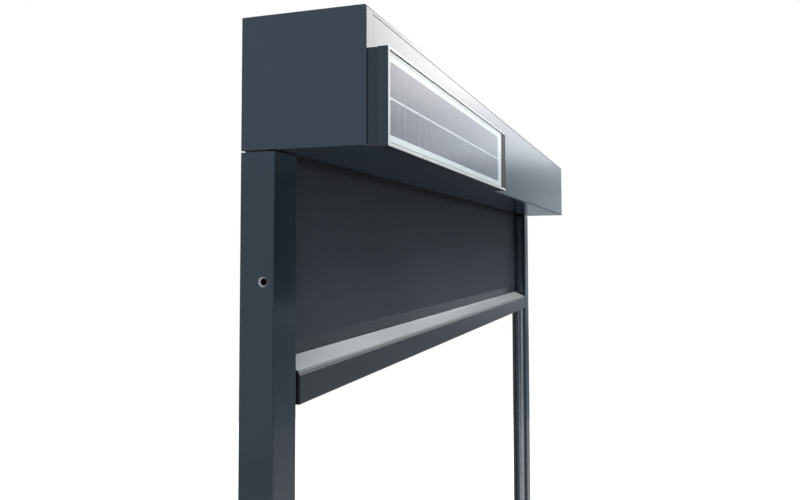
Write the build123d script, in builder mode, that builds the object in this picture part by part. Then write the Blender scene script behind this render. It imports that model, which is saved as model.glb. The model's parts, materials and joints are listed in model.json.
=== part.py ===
"""Vertical screen awning for a window: a square cassette with a solar module, two guide rails with
side-guided screen fabric, and a weighted bottom bar. Millimetres.

Frame: X runs along the cassette, Y points into the wall, Z is up. The origin is the centre of the
cassette's back face, so every piece lies in front of the wall plane Y = 0. Positions across the
section are given as depth, the distance in front of the wall (depth = -Y), and positions across a
rail as inset, the distance inwards from the awning's outer side.
"""

import os
from math import atan, cos, degrees, sin

from build123d import *

os.makedirs("parts", exist_ok=True)

# Whole awning
overall_width = 1385.0
overall_height = 1600.0

# Cassette, made of two aluminium extrusions between end caps
cassette_depth = 125.0
cassette_height = 125.0
cassette_wall = 2.0
cassette_corner_radius = 2.5
cassette_back_radius = 0.8
cover_joint_drop = 4.7
cover_joint_gap = 0.8
cover_tongue_thickness = 1.5
cover_tongue_play = 0.4
cover_tongue_root = 4.0
cover_tongue_block = 2.0
slot_front_depth = 36.5
slot_upstand_height = 10.0
slot_upstand_thickness = 1.5
screw_port_radius = 3.6
screw_port_inset = 8.5
top_front_port_inset = 12.75
port_rib_thickness = 2.0
tapping_screw_radius = 1.9
tapping_screw_length = 18.0
tapping_hole_play = 0.05
clearance_hole_play = 0.25

# End caps and the side plates they cover
end_cap_depth = 16.4
end_cap_wall = 2.2
end_cap_joint_gap = 0.3
end_cap_edge_chamfer = 0.5
end_cap_peg_radius = 2.5
end_cap_peg_setback = 0.4
peg_play = 0.1
peg_places = [(60.0, 46.0), (106.0, 4.0), (80.0, -46.0)]
side_plate_thickness = 3.0
side_plate_play = 0.3
smallest_radius = 0.3

# Guide rails
rail_width = 45.0
rail_depth = 35.0
rail_top_gap = 1.5
rail_outer_wall = 2.2
rail_wall = 2.0
rail_corner_radius = 0.8
rail_partition_inset = 20.0
bar_channel_back = 14.5
bar_channel_front = 26.5
rail_cover_play = 0.2
rail_cover_leg = 1.6
rail_cover_leg_depth = 27.0
rail_cover_return = 1.5
rail_clip_barb = 0.6
rail_barb_height = 1.4
rail_ledge_reach = 1.6
rail_ledge_height = 1.5
fabric_slot_width = 2.2
rail_foot_thickness = 3.0
rail_foot_plug_length = 18.0
rail_foot_corner_radius = 0.6
spigot_length = 35.0
spigot_back_gap = 1.6
spigot_play = 0.35
spigot_root_height = 6.0
spigot_lead_chamfer = 1.5

# Fixing holes in the rails
wall_hole_radius = 3.25
wall_hole_inset = 11.0
side_hole_radius = 3.25
side_hole_rim_radius = 4.7
side_hole_depth = 24.0
first_hole_drop = 119.0
rail_hole_count = 4

# Zip guide inserts, their springs, the channel liners and the inlet funnels
insert_play = 0.2
insert_inset = 30.5
insert_lip = 1.6
liner_play = 0.1
insert_cavity_depth = 6.4
insert_cavity_inset = 33.0
spring_strip_margin = 0.8
liner_thickness = 1.3
liner_flange_reach = 41.0
funnel_shank_length = 22.0
funnel_rise = 12.0
funnel_flange_overlap = 1.2
funnel_mouth_flare = 1.2

# Screen fabric with its zip tapes
fabric_thickness = 0.6
fabric_depth = 7.0
fabric_edge_inset = 37.0
zip_tape_thickness = 0.5
zip_tape_width = 13.0
zip_bead_width = 2.4
zip_bead_thickness = 3.6
zip_tape_end_gap = 2.0
weld_gap = 0.1
running_gap = 0.3

# Roller with its tubular motor and idler
roller_radius = 31.5
roller_wall = 1.5
roller_z = 7.5
roller_end_inset = 36.0
wound_radius = 36.0
wound_play = 0.2
keder_radius = 2.5
keder_play = 0.4
keder_pocket_wall = 1.1
keder_pocket_setback = 0.3
keder_slot_width = 2.2
keder_notch_play = 0.2
plug_play = 0.3
flange_thickness = 2.5
motor_radius = 22.5
motor_length = 480.0
motor_wall = 1.2
motor_inner_play = 0.1
gearbox_length = 110.0
gearbox_setback = 4.0
winding_length = 95.0
winding_gap = 30.0
motor_head_radius = 24.0
motor_head_rounding = 1.2
motor_end_chamfer = 1.5
motor_stub_setback = 0.3
motor_square = 10.0
motor_shaft_square = 12.0
motor_shaft_length = 28.0
motor_shaft_neck_radius = 5.0
motor_shaft_neck_gap = 0.3
crown_length = 18.0
crown_play = 0.35
drive_wheel_length = 24.0
drive_wheel_setback = 1.0
drive_wheel_hole_radius = 3.6
drive_wheel_hole_circle = 16.0
drive_wheel_hole_count = 5
drive_wheel_hole_start = 162
drive_wheel_hole_range = 288
bracket_thickness = 4.0
bracket_size = 64.0
bracket_screw_offset = 25.0
bracket_corner_radius = 6.0
square_play = 0.1
idler_plug_length = 40.0
idler_pin_radius = 6.0
idler_pin_length = 52.0
idler_pin_chamfer = 0.8
bearing_outer_radius = 14.0
bearing_width = 8.0
bearing_ball_radius = 2.38
bearing_pitch_radius = 10.0
bearing_ball_count = 8
bearing_ring_gap = 3.0
bearing_fit = 0.05
ball_play = 0.07
bearing_cup_wall = 3.5
bearing_shoulder = 0.6

# Battery in the front of the cassette
battery_cell_radius = 9.2
battery_cell_length = 65.0
battery_cell_count = 5
battery_cell_play = 0.3
battery_cell_gap = 0.2
battery_cap_play = 0.1
battery_tube_wall = 1.5
battery_cap_length = 10.0
battery_cap_flange = 4.0
battery_inset = 92.5
battery_depth = 108.0
battery_z = -34.0
battery_clip_wall = 1.8
battery_clip_width = 14.0
battery_clip_foot = 26.0
battery_clip_foot_thickness = 2.0
battery_clip_opening = 15.0
battery_clip_neck = 8.0
battery_clip_setback = 60.0

# Solar module on the front
module_left_inset = 1.6
module_length = 522.8
module_height = 88.2
module_below_cassette = 1.4
module_frame_depth = 10.2
module_holder_depth = 10.0
module_lip = 3.2
module_ledge = 6.0
module_recess = 0.8
module_corner_radius = 1.2
module_edge_chamfer = 0.5
holder_end_inset = 0.4
holder_edge_inset = 0.4
holder_wall = 2.0
holder_corner_radius = 1.2
glass_thickness = 3.0
glass_edge_chamfer = 0.4
cell_thickness = 0.3
backsheet_thickness = 0.8
laminate_play = 0.3
cell_columns = 11
cell_rows = 2
cell_gap = 2.0
cell_left_margin = 7.3
cell_right_margin = 25.0
cell_bottom_margin = 7.5
cell_top_margin = 8.7
cell_corner_cut = 1.2
junction_cover_length = 21.0
junction_cover_recess = 0.3
junction_cover_chamfer = 0.6
holder_boss_radius = 5.0
holder_boss_clearance = 8.0
module_screw_end_gap = 2.0
module_screw_edge = 60.0
grommet_radius = 6.0
grommet_flange = 2.0
grommet_wall = 2.0
grommet_right_inset = 52.8
grommet_play = 0.1

# Bottom bar
bar_depth_back = 3.0
bar_depth_front = 35.4
bar_front_height = 27.6
bar_facet_depth = 2.0
bar_facet_height = 3.4
bar_back_height = 41.5
bar_wall = 1.8
bar_end_inset = 55.5
bar_flat_top = 6.2
bar_corner_radius = 0.8
bar_groove_setback = 1.2
bar_groove_width = 1.2
bar_groove_depth = 0.9
bar_cap_thickness = 3.0
bar_plug_length = 14.0
bar_plug_play = 0.3
bar_plug_height = 12.0
bar_keder_setback = 1.0
bar_keder_play = 0.05
tongue_play = 1.9
tongue_reach_inset = 26.5
tongue_height = 30.0
tongue_lift = 4.0
tongue_corner_radius = 3.0
ballast_thickness = 12.0
ballast_depth = 22.0
ballast_end_gap = 20.0
ballast_lift = 0.05
ballast_chamfer = 0.6
bar_port_radius = 3.4
bar_port_drop = 2.4
bar_port_sink = 0.3

# The screen stands lowered by this much in the modelled pose
rest_drop = 240.1

# Fasteners
pan_head_radius = 3.7
pan_head_height = 2.2
pan_head_taper = 8
machine_screw_radius = 1.95
machine_screw_play = 0.05
bracket_screw_end = 1.0

# How far a cutting shape reaches past the face it cuts
cut_margin = 1.0

# Planes and levels worked out from the sizes above
half_width = overall_width / 2
cassette_top = cassette_height / 2
cassette_bottom = -cassette_height / 2
awning_bottom = cassette_top - overall_height
profile_half = half_width - end_cap_depth - end_cap_joint_gap
side_plate_half = profile_half + side_plate_thickness
rail_top = cassette_bottom - rail_top_gap
rail_bottom = awning_bottom + rail_foot_thickness
rail_length = rail_top - rail_bottom
bracket_half = profile_half - bracket_thickness
bar_bottom = cassette_bottom - rest_drop
fabric_back = fabric_depth - fabric_thickness / 2
fabric_front = fabric_depth + fabric_thickness / 2
roller_depth = fabric_front + running_gap + wound_radius
roller_half = half_width - roller_end_inset
keder_pocket_radius = keder_radius + keder_play + keder_pocket_wall
keder_centre_radius = roller_radius - keder_pocket_radius - keder_pocket_setback
fabric_half = half_width - fabric_edge_inset
cover_top = cassette_top - cover_joint_drop - cover_joint_gap
return_bottom = cassette_top - cover_joint_drop
front_inner = cassette_depth - cassette_wall


def section_plane(x):
    """Section across the awning at x. Local X is depth in front of the wall, local Y is up.
    Its normal points to -X, so an extrusion starts at its right-hand end."""
    return Plane(origin=(x, 0, 0), x_dir=(0, -1, 0), z_dir=(-1, 0, 0))


def rail_plane(z):
    """Section through the left rail at height z. Local X is inset from the outer side, local Y is
    depth in front of the wall. Its normal points down, so an extrusion starts at its top end."""
    return Plane(origin=(-half_width, 0, z), x_dir=(1, 0, 0), z_dir=(0, 0, -1))


def front_plane(depth):
    """Plane parallel to the wall at the given depth, with local X along X and local Y up.
    Its normal points away from the wall."""
    return Plane(origin=(0, -depth, 0), x_dir=(1, 0, 0), z_dir=(0, -1, 0))


def area(low, high, mode=Mode.ADD):
    """A rectangle between two corners, in the sketch that is being drawn."""
    with Locations(((low[0] + high[0]) / 2, (low[1] + high[1]) / 2)):
        Rectangle(high[0] - low[0], high[1] - low[1], mode=mode)


def disc(centre, radius, mode=Mode.ADD):
    """A round area about a centre, in the sketch that is being drawn."""
    with Locations(centre):
        Circle(radius, mode=mode)


def cassette_outline(margin=0.0):
    """The cassette's outer section, drawn smaller all round by the margin."""
    front_radius = max(cassette_corner_radius - margin, smallest_radius)
    back_radius = max(cassette_back_radius - margin, smallest_radius)
    with BuildSketch() as outline:
        area((margin, cassette_bottom + margin), (cassette_depth - margin, cassette_top - margin))
        fillet(outline.vertices().group_by(Axis.X)[-1], front_radius)
        fillet(outline.vertices().group_by(Axis.X)[0], back_radius)
    return outline.sketch


plate_margin = end_cap_wall + side_plate_play
full_outline = cassette_outline()
rim_outline = cassette_outline(end_cap_wall)
plate_outline = cassette_outline(plate_margin)


def finish(piece, name):
    """Names one finished piece and writes it."""
    piece.part.label = name
    export_step(piece.part, f"parts/{name}.step")


def finish_pair(left_piece, name):
    """Writes a piece for the left side and its mirror image for the right side."""
    finish(left_piece, f"{name}_left")
    with BuildPart() as right_piece:
        mirror(left_piece.part, about=Plane.YZ)
    finish(right_piece, f"{name}_right")


# Screw ports: the places in the section where the side plates are screwed on
port_high = cassette_top - screw_port_inset
port_low = cassette_bottom + screw_port_inset
back_profile_ports = [
    (screw_port_inset, port_high),
    (cassette_depth - top_front_port_inset, port_high),
]
cover_ports = [
    (cassette_depth - screw_port_inset, port_low),
    (slot_front_depth + screw_port_inset, port_low),
]
side_plate_screw_places = back_profile_ports + cover_ports


def draw_ports(places, wall_level):
    """Round screw ports, each tied by a rib to the wall above or below it."""
    for depth, z in places:
        low, high = sorted((z, wall_level))
        area((depth - port_rib_thickness / 2, low), (depth + port_rib_thickness / 2, high))
        disc((depth, z), screw_port_radius)
        disc((depth, z), tapping_screw_radius + tapping_hole_play, mode=Mode.SUBTRACT)


# Cassette back profile: back wall, top wall and the short front return that the cover hangs on
tongue_front = front_inner - cover_tongue_play
tongue_back = tongue_front - cover_tongue_thickness
tongue_top = cassette_top - cassette_wall - cover_tongue_play
with BuildPart() as cassette_back_profile:
    with BuildSketch(section_plane(profile_half)) as back_section:
        add(full_outline)
        area(
            (cassette_wall, cassette_bottom - cut_margin),
            (front_inner, cassette_top - cassette_wall),
            mode=Mode.SUBTRACT,
        )
        area(
            (cassette_wall, cassette_bottom - cut_margin),
            (cassette_depth + cut_margin, return_bottom),
            mode=Mode.SUBTRACT,
        )
        hanger_front = tongue_back - cover_tongue_play
        area(
            (hanger_front - cover_tongue_thickness, return_bottom - cover_tongue_play),
            (hanger_front, cassette_top - cassette_wall),
        )
        draw_ports(back_profile_ports, cassette_top - cassette_wall)
    extrude(amount=2 * profile_half)
finish(cassette_back_profile, "cassette_back_profile")

# Solar module levels and the places of its screws, needed by the front cover
module_left = -half_width + module_left_inset
module_right = module_left + module_length
module_low = cassette_bottom - module_below_cassette
module_high = module_low + module_height
holder_front = cassette_depth + module_holder_depth
module_front = holder_front + module_frame_depth
module_mid = (module_low + module_high) / 2
boss_edge = holder_edge_inset + holder_wall + holder_boss_radius + holder_boss_clearance
boss_offset = module_height / 2 - boss_edge
module_screw_places = [
    (x, z)
    for x in (module_left + module_screw_edge, module_right - module_screw_edge)
    for z in (module_mid - boss_offset, module_mid + boss_offset)
]
grommet_place = (module_right - grommet_right_inset, module_mid)

# Cassette front cover: front wall and underside in one removable extrusion
with BuildPart() as cassette_front_cover:
    with BuildSketch(section_plane(profile_half)) as cover_section:
        add(full_outline)
        area(
            (-cut_margin, cassette_bottom + cassette_wall),
            (front_inner, cassette_top + cut_margin),
            mode=Mode.SUBTRACT,
        )
        area(
            (-cut_margin, cassette_bottom - cut_margin),
            (slot_front_depth, cassette_top + cut_margin),
            mode=Mode.SUBTRACT,
        )
        area(
            (-cut_margin, cover_top),
            (cassette_depth + cut_margin, cassette_top + cut_margin),
            mode=Mode.SUBTRACT,
        )
        area(
            (slot_front_depth, cassette_bottom),
            (slot_front_depth + slot_upstand_thickness, cassette_bottom + slot_upstand_height),
        )
        tongue_bottom = cover_top - cover_tongue_root
        area((tongue_back, tongue_bottom), (tongue_front, tongue_top))
        area((tongue_front, tongue_bottom), (front_inner, tongue_bottom + cover_tongue_block))
        draw_ports(cover_ports, cassette_bottom + cassette_wall)
    extrude(amount=2 * profile_half)
    with Locations(front_plane(cassette_depth)):
        with Locations(*module_screw_places):
            Hole(machine_screw_radius + clearance_hole_play, depth=cassette_wall + cut_margin)
        with Locations(grommet_place):
            Hole(grommet_radius, depth=cassette_wall + cut_margin)
finish(cassette_front_cover, "cassette_front_cover")

# Side plates: each carries one end of the roller, and its spigot stands in the rail below
spigot_outer = rail_outer_wall + spigot_play
spigot_inner = rail_partition_inset - rail_cover_play - rail_cover_leg - spigot_play
spigot_back = rail_wall + spigot_back_gap
spigot_front = rail_cover_leg_depth - spigot_play
spigot_top = cassette_bottom + plate_margin + spigot_root_height
bracket_screw_places = [
    (roller_depth + i * bracket_screw_offset, roller_z + j * bracket_screw_offset)
    for i in (-1, 1)
    for j in (-1, 1)
]
bracket_holes = [(depth - roller_depth, z - roller_z) for depth, z in bracket_screw_places]
with BuildPart() as side_plate:
    with BuildSketch(section_plane(-profile_half)):
        add(plate_outline)
        with Locations(*side_plate_screw_places):
            Circle(tapping_screw_radius + clearance_hole_play, mode=Mode.SUBTRACT)
        with Locations(*peg_places):
            Circle(end_cap_peg_radius + peg_play, mode=Mode.SUBTRACT)
        with Locations(*bracket_screw_places):
            Circle(machine_screw_radius + machine_screw_play, mode=Mode.SUBTRACT)
    extrude(amount=side_plate_thickness)
    with BuildSketch(rail_plane(spigot_top)):
        area((spigot_outer, spigot_back), (spigot_inner, spigot_front))
    extrude(amount=spigot_top - rail_top + spigot_length)
    chamfer(side_plate.edges().group_by(Axis.Z)[0], spigot_lead_chamfer)
finish_pair(side_plate, "side_plate")

# End caps: shallow trays that cover the side plates, held by pegs in the plates' holes
cap_inner = half_width - end_cap_wall
with BuildPart() as end_cap:
    with BuildSketch(section_plane(-cap_inner)):
        add(full_outline)
    extrude(amount=end_cap_wall)
    with BuildSketch(section_plane(-(half_width - end_cap_depth))):
        add(full_outline)
        add(rim_outline, mode=Mode.SUBTRACT)
        area(
            (spigot_back - spigot_play, cassette_bottom - cut_margin),
            (spigot_front + spigot_play, cassette_bottom + plate_margin),
            mode=Mode.SUBTRACT,
        )
    extrude(amount=end_cap_depth - end_cap_wall)
    peg_end = profile_half + end_cap_peg_setback
    with BuildSketch(section_plane(-peg_end)):
        with Locations(*peg_places):
            Circle(end_cap_peg_radius)
    extrude(amount=cap_inner - peg_end)
    outer_edges = end_cap.faces().sort_by(Axis.X)[0].outer_wire().edges()
    chamfer(outer_edges, end_cap_edge_chamfer)
finish_pair(end_cap, "end_cap")


def pan_head_screws(plane, places, shank_radius, shank_length):
    """Pan-head screws whose heads stand on a plane and whose shanks go down behind it."""
    with BuildSketch(plane) as heads:
        with Locations(*places):
            Circle(pan_head_radius)
    extrude(heads.sketch, amount=pan_head_height, taper=pan_head_taper)
    with BuildSketch(plane) as shanks:
        with Locations(*places):
            Circle(shank_radius)
    extrude(shanks.sketch, amount=-shank_length)


# Tapping screws that hold the side plates to the extrusions
with BuildPart() as side_plate_screws:
    left_face = section_plane(-side_plate_half)
    pan_head_screws(left_face, side_plate_screw_places, tapping_screw_radius, tapping_screw_length)
    mirror(side_plate_screws.part, about=Plane.YZ)
finish(side_plate_screws, "side_plate_screws")

# Guide rail base profile: zip chamber at the back, bar channel, and a hollow outer chamber
slot_back = fabric_depth - fabric_slot_width / 2
slot_front = fabric_depth + fabric_slot_width / 2
zip_chamber_front = bar_channel_back - rail_wall
partition_inner = rail_partition_inset + rail_wall
cover_back = rail_depth - rail_wall
hole_span = rail_length - 2 * first_hole_drop
rail_hole_heights = [
    rail_top - first_hole_drop - hole_span * i / (rail_hole_count - 1) for i in range(rail_hole_count)
]
with BuildPart() as rail_base:
    with BuildSketch(rail_plane(rail_top)):
        area((0, 0), (rail_width, rail_wall))
        area((0, 0), (rail_outer_wall, rail_depth))
        area((rail_partition_inset, rail_wall), (partition_inner, cover_back - rail_cover_play))
        area((partition_inner, zip_chamber_front), (rail_width, bar_channel_back))
        area((rail_width - rail_wall, slot_front), (rail_width, bar_channel_back))
        area((rail_width - rail_wall, 0), (rail_width, slot_back))
        ledge_front = cover_back - rail_cover_play
        area(
            (rail_outer_wall, ledge_front - rail_ledge_height),
            (rail_outer_wall + rail_ledge_reach, ledge_front),
        )
        area(
            (rail_partition_inset, rail_cover_leg_depth - rail_cover_play),
            (
                rail_partition_inset + rail_clip_barb + rail_cover_play,
                rail_cover_leg_depth + rail_barb_height + rail_cover_play,
            ),
            mode=Mode.SUBTRACT,
        )
    extrude(amount=rail_length)
    for depth in (0, rail_depth):
        corner = (-half_width, -depth, rail_top)
        fillet(rail_base.edges().filter_by(Axis.Z).sort_by_distance(corner)[0], rail_corner_radius)
    with Locations(front_plane(rail_wall)):
        with Locations(*[(-half_width + wall_hole_inset, z) for z in rail_hole_heights]):
            Hole(wall_hole_radius, depth=2 * rail_wall)
    with Locations(section_plane(-half_width)):
        with Locations(*[(side_hole_depth, z) for z in rail_hole_heights]):
            CounterSinkHole(side_hole_radius, side_hole_rim_radius, depth=rail_outer_wall + cut_margin)
finish_pair(rail_base, "rail_base")

# Guide rail front cover, clipped onto the base
with BuildPart() as rail_cover:
    with BuildSketch(rail_plane(rail_top)):
        area((rail_outer_wall + rail_cover_play, cover_back), (rail_width, rail_depth))
        area((rail_width - rail_wall, bar_channel_front), (rail_width, cover_back))
        return_start = partition_inner + rail_cover_play + rail_cover_leg
        area(
            (return_start, bar_channel_front),
            (rail_width - rail_wall, bar_channel_front + rail_cover_return),
        )
        leg_inner = rail_partition_inset - rail_cover_play
        area((leg_inner - rail_cover_leg, rail_cover_leg_depth), (leg_inner, cover_back))
        area((partition_inner + rail_cover_play, bar_channel_front), (return_start, cover_back))
        area(
            (leg_inner, rail_cover_leg_depth),
            (rail_partition_inset + rail_clip_barb, rail_cover_leg_depth + rail_barb_height),
        )
    extrude(amount=rail_length)
    corner = (-half_width + rail_width, -rail_depth, rail_top)
    fillet(rail_cover.edges().filter_by(Axis.Z).sort_by_distance(corner)[0], rail_corner_radius)
finish_pair(rail_cover, "rail_cover")

# Zip guide insert: a C-shaped strip that keeps the zip inside and lets the fabric out
insert_top = rail_top - funnel_shank_length
insert_outer = rail_width - rail_wall - insert_play
insert_back = rail_wall + insert_play
insert_front = zip_chamber_front - insert_play
cavity_back = fabric_depth - insert_cavity_depth / 2
cavity_front = fabric_depth + insert_cavity_depth / 2
cavity_inner_side = insert_outer - insert_lip


def draw_insert_section():
    """Outline, zip cavity and mouth that the guide insert and the funnel's shank share."""
    area((insert_inset, insert_back), (insert_outer, insert_front))
    area((insert_cavity_inset, cavity_back), (cavity_inner_side, cavity_front), mode=Mode.SUBTRACT)
    area(
        (cavity_inner_side - cut_margin, slot_back),
        (insert_outer + cut_margin, slot_front),
        mode=Mode.SUBTRACT,
    )


with BuildPart() as zip_insert:
    with BuildSketch(rail_plane(insert_top)):
        draw_insert_section()
    extrude(amount=insert_top - rail_bottom)
finish_pair(zip_insert, "zip_insert")

# Foam spring strip behind the insert, which keeps the fabric pulled sideways
with BuildPart() as insert_spring:
    with BuildSketch(rail_plane(rail_top)):
        area(
            (partition_inner + insert_play, rail_wall + spring_strip_margin),
            (insert_inset - insert_play, zip_chamber_front - spring_strip_margin),
        )
    extrude(amount=rail_length)
finish_pair(insert_spring, "insert_spring")

# Channel liner: the light strip on which the bar's tongue glides
liner_back = bar_channel_back + insert_play
liner_front = bar_channel_front - insert_play
liner_floor = partition_inner + rail_cover_play + rail_cover_leg + liner_play
with BuildPart() as channel_liner:
    with BuildSketch(rail_plane(rail_top)):
        area((partition_inner + liner_play, liner_back), (liner_floor, liner_front))
        area((liner_floor, liner_back), (liner_flange_reach, liner_back + liner_thickness))
        area((liner_floor, liner_front - liner_thickness), (liner_flange_reach, liner_front))
    extrude(amount=rail_length)
finish_pair(channel_liner, "channel_liner")

# Inlet funnel at the rail's top: leads the fabric edge and its zip into the insert
funnel_top = rail_top + rail_top_gap + funnel_rise
with BuildPart() as rail_inlet:
    with BuildSketch(rail_plane(rail_top)):
        draw_insert_section()
    extrude(amount=funnel_shank_length - insert_play)
    with BuildSketch(rail_plane(funnel_top)):
        area(
            (insert_inset, insert_back),
            (rail_width + funnel_flange_overlap, zip_chamber_front + funnel_flange_overlap),
        )
        area((insert_cavity_inset, cavity_back), (cavity_inner_side, cavity_front), mode=Mode.SUBTRACT)
        area(
            (cavity_inner_side - cut_margin, slot_back),
            (rail_width + funnel_flange_overlap + cut_margin, slot_front),
            mode=Mode.SUBTRACT,
        )
    extrude(amount=funnel_top - rail_top)
    mouth = rail_inlet.faces().sort_by(Axis.Z)[-1]
    mouth_edges = mouth.edges().filter_by(Axis.X).filter_by_position(
        Axis.Y, -slot_front - running_gap, -slot_back + running_gap
    )
    chamfer(mouth_edges, funnel_mouth_flare)
finish_pair(rail_inlet, "rail_inlet")

# Rail foot: closes the rail's lower end
with BuildPart() as rail_foot:
    with BuildSketch(rail_plane(rail_bottom)) as foot_plate:
        area((0, 0), (rail_width, rail_depth))
        fillet(foot_plate.vertices(), rail_foot_corner_radius)
    extrude(amount=rail_foot_thickness)
    with BuildSketch(rail_plane(rail_bottom)):
        area(
            (rail_outer_wall + spigot_play, rail_wall + spigot_play),
            (spigot_inner, spigot_front),
        )
    extrude(amount=-rail_foot_plug_length)
finish_pair(rail_foot, "rail_foot")

# Roller
def roller_place(x):
    """Section plane at x whose origin lies on the roller's axis."""
    return Plane(origin=(x, -roller_depth, roller_z), x_dir=(0, -1, 0), z_dir=(-1, 0, 0))


def draw_keder_notch(radius):
    """The notch, open to the rim, that fits round the roller's keder pocket."""
    disc((0, keder_centre_radius), radius, mode=Mode.SUBTRACT)
    area((-radius, keder_centre_radius), (radius, roller_radius + cut_margin), mode=Mode.SUBTRACT)


tube_inner = roller_radius - roller_wall
plug_radius = tube_inner - plug_play
with BuildPart() as roller_tube:
    with BuildSketch(roller_place(roller_half)):
        Circle(roller_radius)
        Circle(tube_inner, mode=Mode.SUBTRACT)
        disc((0, keder_centre_radius), keder_pocket_radius)
        disc((0, keder_centre_radius), keder_radius + keder_play, mode=Mode.SUBTRACT)
        area(
            (-keder_slot_width / 2, keder_centre_radius),
            (keder_slot_width / 2, roller_radius + cut_margin),
            mode=Mode.SUBTRACT,
        )
    extrude(amount=2 * roller_half)
finish(roller_tube, "roller_tube")

with BuildPart() as roller_keder:
    with BuildSketch(roller_place(fabric_half)):
        disc((0, keder_centre_radius), keder_radius)
    extrude(amount=2 * fabric_half)
finish(roller_keder, "roller_keder")

with BuildPart() as wound_screen:
    with BuildSketch(roller_place(fabric_half)):
        Circle(wound_radius)
        Circle(roller_radius + wound_play, mode=Mode.SUBTRACT)
    extrude(amount=2 * fabric_half)
finish(wound_screen, "wound_screen")

# Motor side, on the left
head_outer = bracket_half
head_inner = roller_half + flange_thickness + running_gap
notch_radius = keder_pocket_radius + keder_notch_play
with BuildPart() as motor_bracket:
    with BuildSketch(roller_place(-bracket_half)):
        RectangleRounded(bracket_size, bracket_size, bracket_corner_radius)
        Rectangle(motor_square + 2 * square_play, motor_square + 2 * square_play, mode=Mode.SUBTRACT)
        with Locations(*bracket_holes):
            Circle(machine_screw_radius + machine_screw_play, mode=Mode.SUBTRACT)
    extrude(amount=bracket_thickness)
finish(motor_bracket, "motor_bracket")

with BuildPart() as motor_head:
    with BuildSketch(roller_place(-head_inner)):
        Circle(motor_head_radius)
    extrude(amount=head_outer - head_inner)
    fillet(motor_head.edges().filter_by(GeomType.CIRCLE), motor_head_rounding)
    with BuildSketch(roller_place(-head_outer)):
        Rectangle(motor_square, motor_square)
    extrude(amount=bracket_thickness - motor_stub_setback)
finish(motor_head, "motor_head")

motor_end = -head_inner + motor_length
motor_inner = motor_radius - motor_wall
with BuildPart() as motor_body:
    with BuildSketch(roller_place(motor_end)):
        Circle(motor_radius)
    extrude(amount=motor_length)
    with BuildSketch(roller_place(motor_end - motor_wall)):
        Circle(motor_inner)
    extrude(amount=motor_length, mode=Mode.SUBTRACT)
    chamfer(motor_body.edges().filter_by(GeomType.CIRCLE).sort_by(Axis.X)[-1], motor_end_chamfer / 2)
    with BuildSketch(roller_place(motor_end + cut_margin)):
        Circle(motor_shaft_neck_radius + clearance_hole_play)
    extrude(amount=2 * motor_wall + cut_margin, mode=Mode.SUBTRACT)
finish(motor_body, "motor_body")

# Inside the motor tube: the gearbox at the shaft end, then the motor winding
gearbox_end = motor_end - motor_wall - gearbox_setback
with BuildPart() as motor_gearbox:
    with BuildSketch(roller_place(gearbox_end)):
        Circle(motor_inner - motor_inner_play)
    extrude(amount=gearbox_length)
    chamfer(motor_gearbox.edges().filter_by(GeomType.CIRCLE), motor_end_chamfer)
finish(motor_gearbox, "motor_gearbox")

winding_end = gearbox_end - gearbox_length - winding_gap
with BuildPart() as motor_winding:
    with BuildSketch(roller_place(winding_end)):
        Circle(motor_inner - motor_inner_play)
    extrude(amount=winding_length)
    chamfer(motor_winding.edges().filter_by(GeomType.CIRCLE), motor_end_chamfer)
finish(motor_winding, "motor_winding")

with BuildPart() as motor_crown:
    with BuildSketch(roller_place(-(roller_half - crown_length))):
        Circle(plug_radius)
        Circle(motor_radius + crown_play, mode=Mode.SUBTRACT)
        draw_keder_notch(notch_radius)
    extrude(amount=crown_length)
    with BuildSketch(roller_place(-roller_half)):
        Circle(roller_radius)
        Circle(motor_radius + crown_play, mode=Mode.SUBTRACT)
    extrude(amount=flange_thickness)
finish(motor_crown, "motor_crown")

shaft_start = motor_end + running_gap
with BuildPart() as motor_shaft:
    with BuildSketch(roller_place(shaft_start + motor_shaft_length)):
        Rectangle(motor_shaft_square, motor_shaft_square)
    extrude(amount=motor_shaft_length)
    chamfer(motor_shaft.edges().filter_by(Axis.X), motor_end_chamfer)
    with BuildSketch(roller_place(shaft_start)):
        Circle(motor_shaft_neck_radius)
    extrude(amount=shaft_start - gearbox_end - motor_shaft_neck_gap)
finish(motor_shaft, "motor_shaft")

with BuildPart() as drive_wheel:
    with BuildSketch(roller_place(shaft_start + motor_shaft_length - drive_wheel_setback)):
        Circle(plug_radius)
        shaft_hole = motor_shaft_square + 2 * square_play
        Rectangle(shaft_hole, shaft_hole, mode=Mode.SUBTRACT)
        draw_keder_notch(notch_radius)
        with PolarLocations(
            drive_wheel_hole_circle,
            drive_wheel_hole_count,
            start_angle=drive_wheel_hole_start,
            angular_range=drive_wheel_hole_range,
        ):
            Circle(drive_wheel_hole_radius, mode=Mode.SUBTRACT)
    extrude(amount=drive_wheel_length)
finish(drive_wheel, "drive_wheel")

# Idler side, on the right
bearing_end = bracket_half - bearing_shoulder
bearing_start = bearing_end - bearing_width
ring_inner_radius = bearing_pitch_radius - bearing_ring_gap / 2
ring_outer_radius = bearing_pitch_radius + bearing_ring_gap / 2
with BuildPart() as idler_bracket:
    with BuildSketch(roller_place(profile_half)):
        RectangleRounded(bracket_size, bracket_size, bracket_corner_radius)
        with Locations(*bracket_holes):
            Circle(machine_screw_radius + machine_screw_play, mode=Mode.SUBTRACT)
    extrude(amount=bracket_thickness)
    with BuildSketch(roller_place(bracket_half)):
        Circle(bearing_outer_radius + bearing_fit + bearing_cup_wall)
        Circle(bearing_outer_radius + bearing_fit, mode=Mode.SUBTRACT)
    extrude(amount=bracket_half - bearing_start)
    with BuildSketch(roller_place(bracket_half)):
        Circle(bearing_outer_radius + bearing_fit)
        Circle(ring_outer_radius, mode=Mode.SUBTRACT)
    extrude(amount=bracket_half - bearing_end)
finish(idler_bracket, "idler_bracket")


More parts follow.
